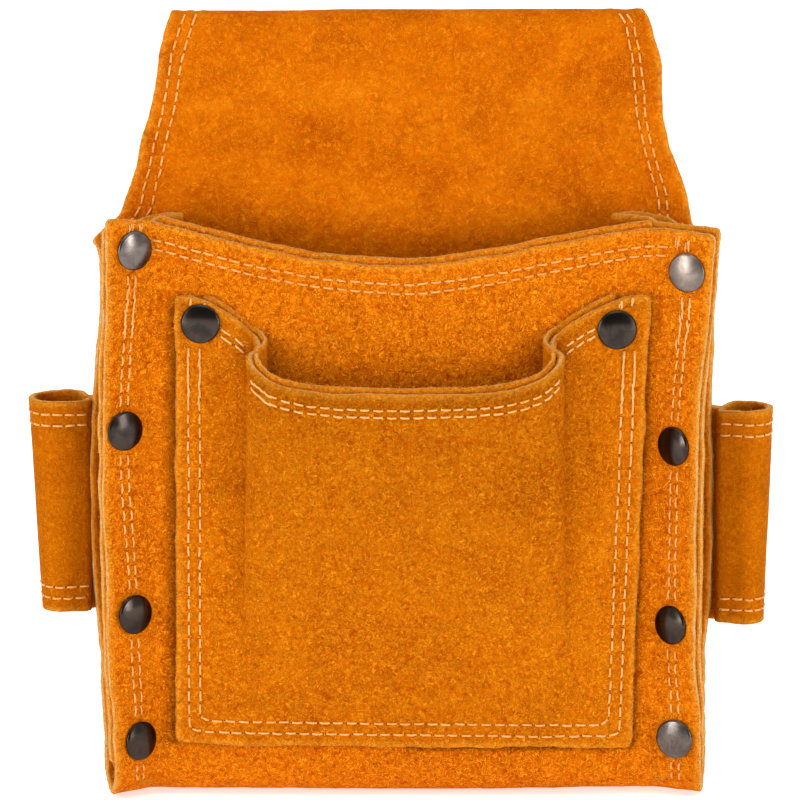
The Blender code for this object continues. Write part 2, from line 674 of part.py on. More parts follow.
def make_back_threads(builder):
    """Double rows along the hanger's edges, the flap's sewn end, and the back seams above and below the tails."""
    front_y = FLAP_STEP[-1][1] - PLY - THREAD_LIFT
    for side in (LEFT, RIGHT):
        rows = [
            [(side * (read(BACK_HALF_WIDTHS, z * MM) - inset), front_y, z * MM) for z in (190, 203, 218, 235, 244)]
            for inset in HANGER_ROWS
        ]
        builder.thread(f"{SIDE_NAMES[side]}_hanger_thread", rectangle(*rows))
        name = f"{SIDE_NAMES[side]}_back_seam_thread"
        bottom, top = LOOP_HEIGHTS[side]
        for part, heights in (("upper", (top + 3 * MM, 136 * MM, 142 * MM, 174 * MM)),
                              ("lower", (16 * MM, bottom - 3 * MM))):
            rows = [[back_seam_point(side, along, z, THREAD_LIFT) for z in heights] for along in BACK_ROWS]
            builder.thread(f"{name}_{part}", rectangle(*rows))
    rear_y = FLAP_STEP[-1][1] + NEXT_PLY + THREAD_LIFT
    half = FLAP_HALF_WIDTH - 4 * MM
    rows = [[(x, rear_y, FLAP_SEWN_Z + rise) for x in (-half, 0, half)] for rise in FLAP_ROWS]
    builder.thread("flap_thread", rectangle(*rows))


def make_loop_threads(builder, side):
    """Double rows along the upper and the lower edge of a tool loop."""
    bottom, top = LOOP_HEIGHTS[side]
    for part, rises in (("lower", HEM_ROWS), ("upper", [top - bottom - rise for rise in HEM_ROWS])):
        rows = []
        for rise in rises:
            path = shifted(loop_path(rise / (top - bottom)), -PLY / 2 - THREAD_LIFT)[2:-2]
            rows.append([(side * x, y, bottom + rise) for x, y in path])
        builder.thread(f"{SIDE_NAMES[side]}_tool_loop_thread_{part}", rectangle(*rows))


def main():
    clear_scene()
    builder = Builder()
    make_back_panel(builder)
    gussets = {side: make_gusset(builder, side) for side in (LEFT, RIGHT)}
    for side in (LEFT, RIGHT):
        make_loop_tails(builder, side)
    make_back_threads(builder)

    builder.joint("front_opening", (0, FOLD_Y, FOLD_Z))
    front_panel = make_front_panel(builder)
    make_front_band(builder)
    front_pocket = make_front_pocket(builder)
    make_pocket_band(builder)
    make_seam_rivets(builder, front_panel, gussets)
    make_pocket_rivets(builder, front_pocket, front_panel)
    make_front_seam_threads(builder)
    make_rim_thread(builder)
    make_pocket_threads(builder)

    for side in (LEFT, RIGHT):
        x, y = LOOP_HINGE
        builder.joint(f"{SIDE_NAMES[side]}_loop_swing", (side * x, y, sum(LOOP_HEIGHTS[side]) / 2))
        make_loop(builder, side)
        make_loop_threads(builder, side)


main()
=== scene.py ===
"""Looks of the suede tool pouch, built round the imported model.

Lengths are millimetres in the pouch's own coordinates: X is the width, -Y the front, +Z up, with the bottom
fold at height 0 and the back panel's rear face at depth 0. world() turns them into the frame's metres.
"""

import math

import bpy
import numpy as np
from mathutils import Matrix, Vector
from mathutils.bvhtree import BVHTree

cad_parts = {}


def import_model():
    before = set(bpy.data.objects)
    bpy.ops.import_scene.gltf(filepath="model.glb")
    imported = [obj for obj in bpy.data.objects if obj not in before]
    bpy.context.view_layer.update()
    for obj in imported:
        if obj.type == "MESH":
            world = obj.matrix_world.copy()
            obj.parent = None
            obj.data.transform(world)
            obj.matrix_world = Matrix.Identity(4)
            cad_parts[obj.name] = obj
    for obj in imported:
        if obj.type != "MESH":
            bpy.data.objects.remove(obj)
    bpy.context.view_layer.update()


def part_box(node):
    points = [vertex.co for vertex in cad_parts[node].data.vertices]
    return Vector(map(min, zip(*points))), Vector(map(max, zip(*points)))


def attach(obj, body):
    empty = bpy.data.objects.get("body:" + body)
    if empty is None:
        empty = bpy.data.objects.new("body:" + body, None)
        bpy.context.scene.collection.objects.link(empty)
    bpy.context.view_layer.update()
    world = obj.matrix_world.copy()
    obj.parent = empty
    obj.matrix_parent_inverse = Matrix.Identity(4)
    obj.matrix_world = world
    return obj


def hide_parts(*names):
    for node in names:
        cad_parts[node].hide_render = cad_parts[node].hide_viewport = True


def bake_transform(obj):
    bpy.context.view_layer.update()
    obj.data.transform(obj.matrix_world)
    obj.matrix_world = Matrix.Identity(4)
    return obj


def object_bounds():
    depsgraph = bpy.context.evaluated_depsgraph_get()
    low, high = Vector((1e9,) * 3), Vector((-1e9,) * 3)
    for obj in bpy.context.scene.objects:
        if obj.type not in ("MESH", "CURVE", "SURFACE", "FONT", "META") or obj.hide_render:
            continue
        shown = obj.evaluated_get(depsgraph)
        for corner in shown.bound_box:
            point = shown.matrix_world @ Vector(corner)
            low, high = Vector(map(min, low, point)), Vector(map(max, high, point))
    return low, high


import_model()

# ------------------------------------------------------------------ dimensions
LEFT, RIGHT = -1, 1
SIDE_NAMES = {LEFT: "left", RIGHT: "right"}
PLY, GAP = 2.4, 0.3
NEXT_PLY = PLY + GAP
BEHIND = NEXT_PLY + PLY / 2  # from a ply's face to the middle of the ply behind it
FOLD_Z, FOLD_RADIUS = 12.0, 10.8
# How much lower the fold hangs in its middle and at its feet, and where the feet begin
FOLD_SAG, FOLD_FEET, FEET_FROM = 1.3, 1.2, (82, 89)
BACK_CREASE, BACK_FLARE = 84.0, math.radians(38)
SHOULDER_Z, HANGER_Z, TOP_Z = 176.0, 190.0, 249.6
TUNNEL_INSIDE, TUNNEL_BOTTOM_Z, FLAP_SEWN_Z, FLAP_HALF_WIDTH = 7.0, 168.0, 147.0, 74.0
FLAP_STEP = ((126, 0), (142, -0.7))
BACK_HALF_WIDTHS = {
    LEFT: ((0, 96.2), (13, 95.8), (26, 96.3), (55.5, 98), (72, 99.4), (97, 100), (117, 99.4), (140, 97.7),
           (156, 96.6), (168, 96.6), (175, 97.4)),
    RIGHT: ((0, 95.8), (13, 96), (26, 95.4), (46, 95.8), (60, 97), (90, 97.8), (122, 97.3), (156, 97.6), (168, 97.6),
            (175, 97.5)),
}
HANGER_HALF_WIDTHS = {
    LEFT: ((178.2, 98.8), (181, 95.4), (184.9, 90.3), (188.8, 89), (192.7, 87.8), (200.4, 85), (208, 83.4), (216, 81),
           (223.8, 79.4), (235.5, 77.9), (243.2, 76), (249.6, 73.8)),
    RIGHT: ((177.2, 97.2), (179.4, 93.6), (181.6, 91), (188.8, 90), (192.7, 88.8), (200.4, 86), (208, 83.7),
            (216, 82.1), (227.7, 81.1), (235.5, 80.5), (243.2, 78.6), (247, 77.2), (249.6, 73.8)),
}
FRONT_FACE = ((0, -24), (25, -24), (50, -23.6), (66, -22.2), (79.8, -20.9))
CREASE_X, CREASE_Y = FRONT_FACE[-1]
SEAM_WIDTHS = {LEFT: ((12, 15.5), (60, 17), (119, 17.6), (160, 16.5)),
               RIGHT: ((12, 15), (114, 16), (142, 17), (170, 19), (188, 20.5))}
SEAM_FLARES = {LEFT: (43, 37, 31, 34), RIGHT: (27, 42, 42, 27)}
SEAM_STEPS = ((12, 24), (44, 66), (103, 126), (160, 188))
FRONT_TOP = ((-97, 188.2), (-93, 187.5), (-80, 185.2), (-65, 181.5), (-45, 176.5), (-25, 173), (0, 171.2), (25, 174),
             (45, 177.8), (65, 181.5), (80, 183.2), (93, 182.5), (97, 182.2))
FRONT_BAND_HALF, FRONT_BAND_RISE, BAND_WIDTH = 78.5, 1.9, 15.0
GUSSET_FOLD_X = {LEFT: ((16, 75), (186, 71)), RIGHT: ((16, 75), (186, 66))}
# Low down its fold lies further out, by this much between these heights
GUSSET_SPLAY, GUSSET_SPLAY_AT = 19, (8, 34)
GUSSET_TOPS = (177, 181.5, 183.5, 185.3, 185.8, 185.5, 184.5, 184.3, 184.3)
POCKET_EDGES = {LEFT: ((14, 72.6), (164, 72.4)), RIGHT: ((14, 71.9), (164, 77.4))}
POCKET_GAP = 0.5
POCKET_BOTTOM = {LEFT: 16.8, RIGHT: 15.2}
POCKET_TOP = ((0, 133), (0.4, 133.6), (0.66, 134.8), (0.8, 136.4), (0.92, 138.2), (1.03, 140.6), (1.3, 143.6),
              (1.7, 145.8), (1.9, 148.4), (2.0, 150.6), (2.1, 152.9), (2.25, 155.8), (2.41, 158.2), (2.62, 160.6),
              (2.8, 161.9), (3, 162.2))
POCKET_PLEAT_BOTTOM, POCKET_DEPTH = 26.0, 15.0
POCKET_BAND_THICK, POCKET_BAND_RISE = 1.4, 2.0
LOOP_HEIGHTS = {LEFT: (58, 126), RIGHT: (54, 122.6)}
LOOP_NECKS = {LEFT: 101.2, RIGHT: 100.0}
LOOP_HINGE = (101.2, -9.2)
LOOP_X, LOOP_Y = 109.6, -8.0
LOOP_REACHES, LOOP_HALF_DEPTH = {LEFT: (5.4, 9.4), RIGHT: (4.2, 7.0)}, 8.0
TAILS_END, TAILS_WIDTH = 17.4, 13.0
CAP_RADIUS, CAP_RIM, CAP_DOME = 6.35, 0.9, 1.2
TUBE_RADIUS, TUBE_BORE, POST_RADIUS, POST_BASE_RADIUS, POST_BASE = 2.0, 1.4, 1.0, 5.2, 1.0
GRIP = PLY + NEXT_PLY
SEAM_RIVETS_AT = {LEFT: (7.7, 11.2, 8.4, 7.0), RIGHT: (11.1, 8.2, 7.3, 7.5)}
SEAM_RIVET_HEIGHTS = {LEFT: (177.2, 119, 59, 17.5), RIGHT: (170.2, 114, 55.5, 17.8)}
POCKET_RIVETS = {LEFT: (64.9, 153.8), RIGHT: (67.3, 151.8)}
PITCH = 4.3
THREAD, HOLE_ROOM, HOLE_RADIUS = 0.34, 0.34, 0.24
# Double rows of stitches, by their distance from the edge beside them
HEM_ROWS, BACK_SEAM_ROWS, FLAP_ROWS = (4, 7.6), (5, 8.5), (4, 7.5)
# Places between which a piece bends from one body to the next: depths, and distances from the middle for a loop
FOLD_BEND, GUSSET_BEND, LOOP_BEND = (-4, -20), (-7, -17), (100.2, 103.4)
FLAP_REAR_Y = 8.7

back_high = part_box("back_panel")[1]
SHIFT = np.array((0, back_high.y - FLAP_REAR_Y / 1000, back_high.z - TOP_Z / 1000))
random = np.random.default_rng(20260)
LATTICE = random.random((64, 64, 64))


def world(points):
    return np.asarray(points, float) / 1000 + SHIFT


# ------------------------------------------------------------------ numbers
def curve(table, at):
    """A smooth curve through (place, value) pairs that doesn't overshoot them."""
    x, y = (np.array([pair[k] for pair in table], float) for k in (0, 1))
    at = np.clip(np.asarray(at, float), x[0], x[-1])
    step = np.diff(x)
    rise = np.diff(y) / step
    slope = np.concatenate(([rise[0]], np.zeros(len(rise) - 1), [rise[-1]]))
    for k in range(1, len(rise)):
        if rise[k - 1] * rise[k] > 0:
            a, b = 2 * step[k] + step[k - 1], step[k] + 2 * step[k - 1]
            slope[k] = (a + b) / (a / rise[k - 1] + b / rise[k])
    k = np.clip(np.searchsorted(x, at) - 1, 0, len(step) - 1)
    t = (at - x[k]) / step[k]
    return (y[k] * (1 + 2 * t) * (1 - t) ** 2 + slope[k] * step[k] * t * (1 - t) ** 2
            + y[k + 1] * t * t * (3 - 2 * t) - slope[k + 1] * step[k] * t * t * (1 - t))


def ease(value, low, high):
    t = np.clip((np.asarray(value, float) - low) / (high - low), 0, 1)
    return t * t * (3 - 2 * t)


def bumps(points, size, seed=0):
    """Smooth noise from -1 to 1 with lumps about that many millimetres across."""
    at = np.asarray(points, float) / size + 13.7 * seed + 5.3
    cell = np.floor(at).astype(int)
    part = at - cell
    part = part * part * (3 - 2 * part)
    total = 0
    for corner in range(8):
        pick = np.array((corner & 1, corner >> 1 & 1, corner >> 2 & 1))
        weight = np.prod(np.where(pick, part, 1 - part), axis=-1)
        i = (cell + pick) & 63
        total = total + weight * LATTICE[i[..., 0], i[..., 1], i[..., 2]]
    return 2 * total - 1


def unit(v):
    return v / np.maximum(np.linalg.norm(v, axis=-1, keepdims=True), 1e-9)


def normals(grid):
    return unit(np.cross(np.gradient(grid, axis=1), np.gradient(grid, axis=0)))


def run_lengths(grid, axis):
    """Distance along a grid's rows or columns, from their start."""
    steps = np.linalg.norm(np.diff(grid, axis=axis), axis=-1)
    zero = np.zeros_like(np.take(steps, [0], axis=axis))
    return np.concatenate((zero, np.cumsum(steps, axis=axis)), axis=axis)


def lengths(line):
    """Distance along a polyline, from its start."""
    return run_lengths(np.asarray(line, float)[None], 1)[0]


def read_off(line, at, places):
    """Points of a polyline at some places, where at gives the place of each of its own points."""
    return np.stack([np.interp(places, at, column) for column in np.transpose(line)], axis=-1)


def soften(path, radius, times=3):
    """A polyline of (x, y, place) with its corners rounded over about that radius."""
    points = [path[0]]
    for before, corner, after in zip(path, path[1:], path[2:]):
        for other in (before, after):
            span = math.dist(other[:2], corner[:2])
            share = min(radius, 0.45 * span) / max(span, 1e-6)
            points.append(tuple(c + (o - c) * share for c, o in zip(corner, other)))
            if other is before:
                points.append(corner)
    points.append(path[-1])
    line = np.array(points, float)
    for _ in range(times):
        first, last = line[:1], line[-1:]
        a, b = line[:-1], line[1:]
        cut = np.stack((0.75 * a + 0.25 * b, 0.25 * a + 0.75 * b), axis=1).reshape(-1, line.shape[1])
        line = np.concatenate((first, cut, last))
    return line


# ------------------------------------------------------------------ materials
def node_tree(name):
    """A material with one principled shader, and the object's own coordinates to draw with."""
    made = bpy.data.materials.new(name)
    made.use_nodes = True
    tree = made.node_tree
    tree.nodes.clear()
    out = tree.nodes.new("ShaderNodeOutputMaterial")
    shader = tree.nodes.new("ShaderNodeBsdfPrincipled")
    tree.links.new(shader.outputs[0], out.inputs[0])
    return made, tree, shader, tree.nodes.new("ShaderNodeTexCoord").outputs["Object"]


def feed(tree, socket, value):
    """Gives a socket its number, colour or link."""
    if isinstance(value, (int, float)):
        socket.default_value = value
    elif isinstance(value, tuple):
        socket.default_value = (*value, 1)
    else:
        tree.links.new(value, socket)


def settle(tree, shader, **sockets):
    """Feeds a shader's sockets; in their names _ stands for a space."""
    for name, value in sockets.items():
        feed(tree, shader.inputs[name.replace("_", " ")], value)


def noise(tree, vector, size, detail=3.0, rough=0.55, bend=0.0):
    """A noise node whose lumps are about that many millimetres across."""
    node = tree.nodes.new("ShaderNodeTexNoise")
    node.inputs["Scale"].default_value = 1000 / size
    node.inputs["Detail"].default_value = detail
    node.inputs["Roughness"].default_value = rough
    node.inputs["Distortion"].default_value = bend
    tree.links.new(vector, node.inputs["Vector"])
    return node.outputs["Fac"]


def spread(tree, value, low, high, to_low=0.0, to_high=1.0):
    """A value stretched from one range to another, and held inside it."""
    node = tree.nodes.new("ShaderNodeMapRange")
    node.interpolation_type = "SMOOTHSTEP"
    for key, number in (("From Min", low), ("From Max", high), ("To Min", to_low), ("To Max", to_high)):
        node.inputs[key].default_value = number
    tree.links.new(value, node.inputs["Value"])
    return node.outputs["Result"]


def sums(tree, kind, a, b):
    node = tree.nodes.new("ShaderNodeMath")
    node.operation = kind
    for socket, value in zip(node.inputs, (a, b)):
        feed(tree, socket, value)
    return node.outputs[0]


def mix(tree, share, a, b, kind="MIX"):
    node = tree.nodes.new("ShaderNodeMix")
    node.data_type = "RGBA"
    node.blend_type = kind
    for number, value in ((0, share), (6, a), (7, b)):
        feed(tree, node.inputs[number], value)
    return node.outputs[2]


def bump(tree, height, distance, strength=1.0, before=None):
    node = tree.nodes.new("ShaderNodeBump")
    node.inputs["Strength"].default_value = strength
    node.inputs["Distance"].default_value = distance / 1000
    tree.links.new(height, node.inputs["Height"])
    if before is not None:
        tree.links.new(before, node.inputs["Normal"])
    return node.outputs[0]


def attribute(tree, name):
    node = tree.nodes.new("ShaderNodeAttribute")
    node.attribute_name = name
    return node.outputs["Fac"]


def scaled(colour, by):
    return tuple(c * by for c in colour)


def layered(tree, colour, *layers):
    """A colour under layers of others, each (pattern, where it starts, where it is full, strength, colour)."""
    for pattern, low, high, strength, over in layers:
        colour = mix(tree, spread(tree, pattern, low, high, 0, strength), colour, over)
    return colour


ORANGE = (0.60, 0.132, 0.0008)
DEEP = (0.31, 0.036, 0.0003)
PALE = (0.95, 0.335, 0.008)


def curls_of(tree, at, size, turns=4.0):
    """Short curled hairs: pieces of the contour lines of a soft noise."""
    field = noise(tree, at, size, 2, 0.55, 0.8)
    wrapped = sums(tree, "FRACT", sums(tree, "MULTIPLY", field, turns * 3), 0)
    line = sums(tree, "ABSOLUTE", sums(tree, "SUBTRACT", wrapped, 0.5), 0)
    thin = spread(tree, line, 0.34, 0.08)
    broken = spread(tree, noise(tree, at, size * 0.5, 2, 0.5, 0.3), 0.38, 0.54)
    return sums(tree, "MULTIPLY", thin, broken)


def suede(name, fleck, contrast, blotch, blotch_size, nap, tint, seed, curl):
    """Split leather: matted nap with light curled hairs and dark gaps, over broad uneven patches of dye."""
    made, tree, shader, where = node_tree(name)
    moved = tree.nodes.new("ShaderNodeMapping")
    moved.inputs["Location"].default_value = (seed, seed * 0.7, seed * 1.3)
    tree.links.new(where, moved.inputs["Vector"])
    at = moved.outputs["Vector"]
    fine = noise(tree, at, fleck, 4, 0.65, 1.0)
    tufts = noise(tree, at, fleck * 2.8, 3, 0.6, 1.6)
    hairs = curls_of(tree, at, curl)
    patches = noise(tree, at, blotch_size, 4, 0.6, 0.6)
    clouds = noise(tree, at, blotch_size * 0.28, 3, 0.6, 0.9)
    base, deep, pale = (tuple(a * b for a, b in zip(dye, tint)) for dye in (ORANGE, DEEP, PALE))
    colour = layered(tree, base, (patches, 0.42, 0.72, blotch, deep),
                     (clouds, 0.5, 0.75, blotch * 0.6, scaled(deep, 1.2)),
                     (patches, 0.45, 0.22, blotch * 0.6, scaled(pale, 0.9)),
                     (tufts, 0.54, 0.30, contrast * 0.62, deep),
                     (fine, 0.5, 0.28, contrast * 0.6, scaled(deep, 0.8)),
                     (fine, 0.50, 0.70, contrast * 0.7, pale))
    colour = mix(tree, sums(tree, "MULTIPLY", hairs, contrast * 0.85), colour, scaled(pale, 1.04))
    worn = spread(tree, attribute(tree, "edge"), 2.2, 0.2, 0, 0.4)
    worn = sums(tree, "MULTIPLY", worn, spread(tree, fine, 0.35, 0.6, 0.3, 1.0))
    colour = mix(tree, worn, colour, (0.84, 0.36, 0.030))
    # tone multiplies in the painted light and shade set on the plies, and the darker strip under the pocket's upper
    # edge
    colour = mix(tree, 1.0, colour, attribute(tree, "tone"), "MULTIPLY")
    relief = bump(tree, hairs, nap * 0.5, 0.8, bump(tree, tufts, nap * 2.2, 0.8))
    settle(tree, shader, Base_Color=colour, Roughness=spread(tree, fine, 0.3, 0.7, 0.88, 1.0),
           Normal=bump(tree, fine, nap, 1.0, relief), Specular_IOR_Level=0.04, Specular_Tint=(1.0, 0.5, 0.1),
           Sheen_Weight=0.16, Sheen_Roughness=0.4, Sheen_Tint=(1.0, 0.48, 0.02))
    return made


def cut_edge():
    """The raw edge of a ply: golden and grey-beige fibres."""
    made, tree, shader, at = node_tree("suede_cut_edge")
    fine = noise(tree, at, 0.7, 3, 0.65, 1.0)
    long = noise(tree, at, 6.0, 3, 0.6, 0.8)
    colour = layered(tree, (0.56, 0.30, 0.085), (long, 0.38, 0.62, 1, (0.60, 0.24, 0.022)),
                     (fine, 0.46, 0.68, 0.8, (0.66, 0.47, 0.25)), (fine, 0.46, 0.28, 0.6, (0.24, 0.10, 0.015)))
    settle(tree, shader, Base_Color=colour, Roughness=1.0, Specular_IOR_Level=0.05, Sheen_Weight=0.15,
           Sheen_Tint=(1.0, 0.7, 0.3), Normal=bump(tree, fine, 0.35, 1.0))
    return made


def fibre():
    made, tree, shader, at = node_tree("suede_fibre")
    fine = noise(tree, at, 1.5, 2, 0.6, 0.5)
    colour = mix(tree, spread(tree, fine, 0.35, 0.65), (0.86, 0.36, 0.025), (0.84, 0.50, 0.16))
    settle(tree, shader, Base_Color=colour, Roughness=0.9, Specular_IOR_Level=0.2)
    return made


def thread(name, light, dark):
    """Waxed cotton, a little darker where the wax has soiled."""
    made, tree, shader, at = node_tree(name)
    fine = noise(tree, at, 0.35, 3, 0.6, 0.8)
    wide = noise(tree, at, 9.0, 2, 0.5, 0.3)
    colour = layered(tree, light, (wide, 0.4, 0.65, 1, dark), (fine, 0.5, 0.3, 0.55, (0.48, 0.24, 0.06)))
    settle(tree, shader, Base_Color=colour, Roughness=0.75, Specular_IOR_Level=0.25, Sheen_Weight=0.2,
           Normal=bump(tree, fine, 0.12, 0.8))
    return made


# Dark discs at the needle holes: painted shade for the depth of each hole
def painted_hole_shade(name, dark, light):
    made, tree, shader, at = node_tree(name)
    colour = mix(tree, spread(tree, noise(tree, at, 0.4, 2, 0.5), 0.3, 0.7), dark, light)
    settle(tree, shader, Base_Color=colour, Roughness=1.0, Specular_IOR_Level=0.05)
    return made


def gunmetal(name, light, dark, polish):
    """Black nickel plate: dark, faintly brown, with fine handling marks."""
    made, tree, shader, at = node_tree(name)
    soft = noise(tree, at, 5.0, 3, 0.6, 0.5)
    fine = noise(tree, at, 0.5, 3, 0.7, 0.2)
    worn = spread(tree, soft, 0.3, 0.7, polish, polish + 0.07)
    settle(tree, shader, Base_Color=mix(tree, spread(tree, soft, 0.35, 0.65), light, dark), Metallic=1.0,
           Roughness=sums(tree, "ADD", worn, spread(tree, fine, 0.45, 0.75, 0, 0.08)),
           Normal=bump(tree, fine, 0.012, 0.4))
    return made


FINISH = {
    "front": suede("suede_front", 1.4, 1.08, 0.32, 34, 0.52, (1.06, 0.935, 1), 0.0, 2.9),
    "pocket": suede("suede_pocket", 1.25, 0.85, 0.50, 24, 0.42, (0.90, 0.87, 0.9), 0.31, 2.6),
    "hanger": suede("suede_hanger", 1.7, 0.42, 0.62, 24, 0.30, (0.94, 0.88, 0.9), 0.53, 3.2),
    "side": suede("suede_side", 1.1, 0.48, 0.30, 20, 0.28, (0.84, 0.84, 0.8), 0.87, 2.4),
    "edge": cut_edge(),
    "fibre": fibre(),
    "thread": thread("cream_thread", (0.81, 0.43, 0.125), (0.76, 0.34, 0.062)),
    "worn_thread": thread("worn_thread", (0.81, 0.39, 0.094), (0.75, 0.30, 0.046)),
    "worn_hole": painted_hole_shade("worn_painted_hole_shade", (0.20, 0.040, 0.003), (0.34, 0.072, 0.004)),
    "hole": painted_hole_shade("painted_hole_shade", (0.040, 0.012, 0.002), (0.12, 0.030, 0.004)),
    "metal": gunmetal("black_nickel_plate", (0.054, 0.040, 0.033), (0.030, 0.024, 0.021), 0.15),
    # Lighter copies of the plate, whose paler colour is painted reflection for caps that look brighter
    "lighter_metal_painted_reflection": gunmetal("nickel_plate_painted_reflection", (0.15, 0.125, 0.112), (0.09, 0.075, 0.066), 0.19),
    "lightest_metal_painted_reflection": gunmetal("nickel_plate_painted_bright_reflection", (0.23, 0.185, 0.155), (0.15, 0.120, 0.100), 0.26),
}


# ------------------------------------------------------------------ meshes
def new_object(name, points, faces, finishes, picks=None, values=None):
    """An object from points in millimetres and faces of three or four corners."""
    mesh = bpy.data.meshes.new(name)
    faces = np.asarray(faces, dtype=np.int32)
    sides = faces.shape[1]
    points = world(points)
    mesh.vertices.add(len(points))
    mesh.vertices.foreach_set("co", points.astype(np.float32).ravel())
    mesh.loops.add(faces.size)
    mesh.loops.foreach_set("vertex_index", faces.ravel())
    mesh.polygons.add(len(faces))
    mesh.polygons.foreach_set("loop_start", np.arange(0, faces.size, sides, dtype=np.int32))
    mesh.polygons.foreach_set("loop_total", np.full(len(faces), sides, dtype=np.int32))
    for finish in finishes:
        mesh.materials.append(FINISH[finish])
    if picks is not None:
        mesh.polygons.foreach_set("material_index", np.asarray(picks, dtype=np.int32))
    mesh.update(calc_edges=True)
    mesh.shade_smooth()
    for key, value in (values or {}).items():
        made = mesh.attributes.new(key, "FLOAT", "POINT")
        made.data.foreach_set("value", np.asarray(value, np.float32))
    mesh.validate()
    obj = bpy.data.objects.new(name, mesh)
    bpy.context.scene.collection.objects.link(obj)
    return obj


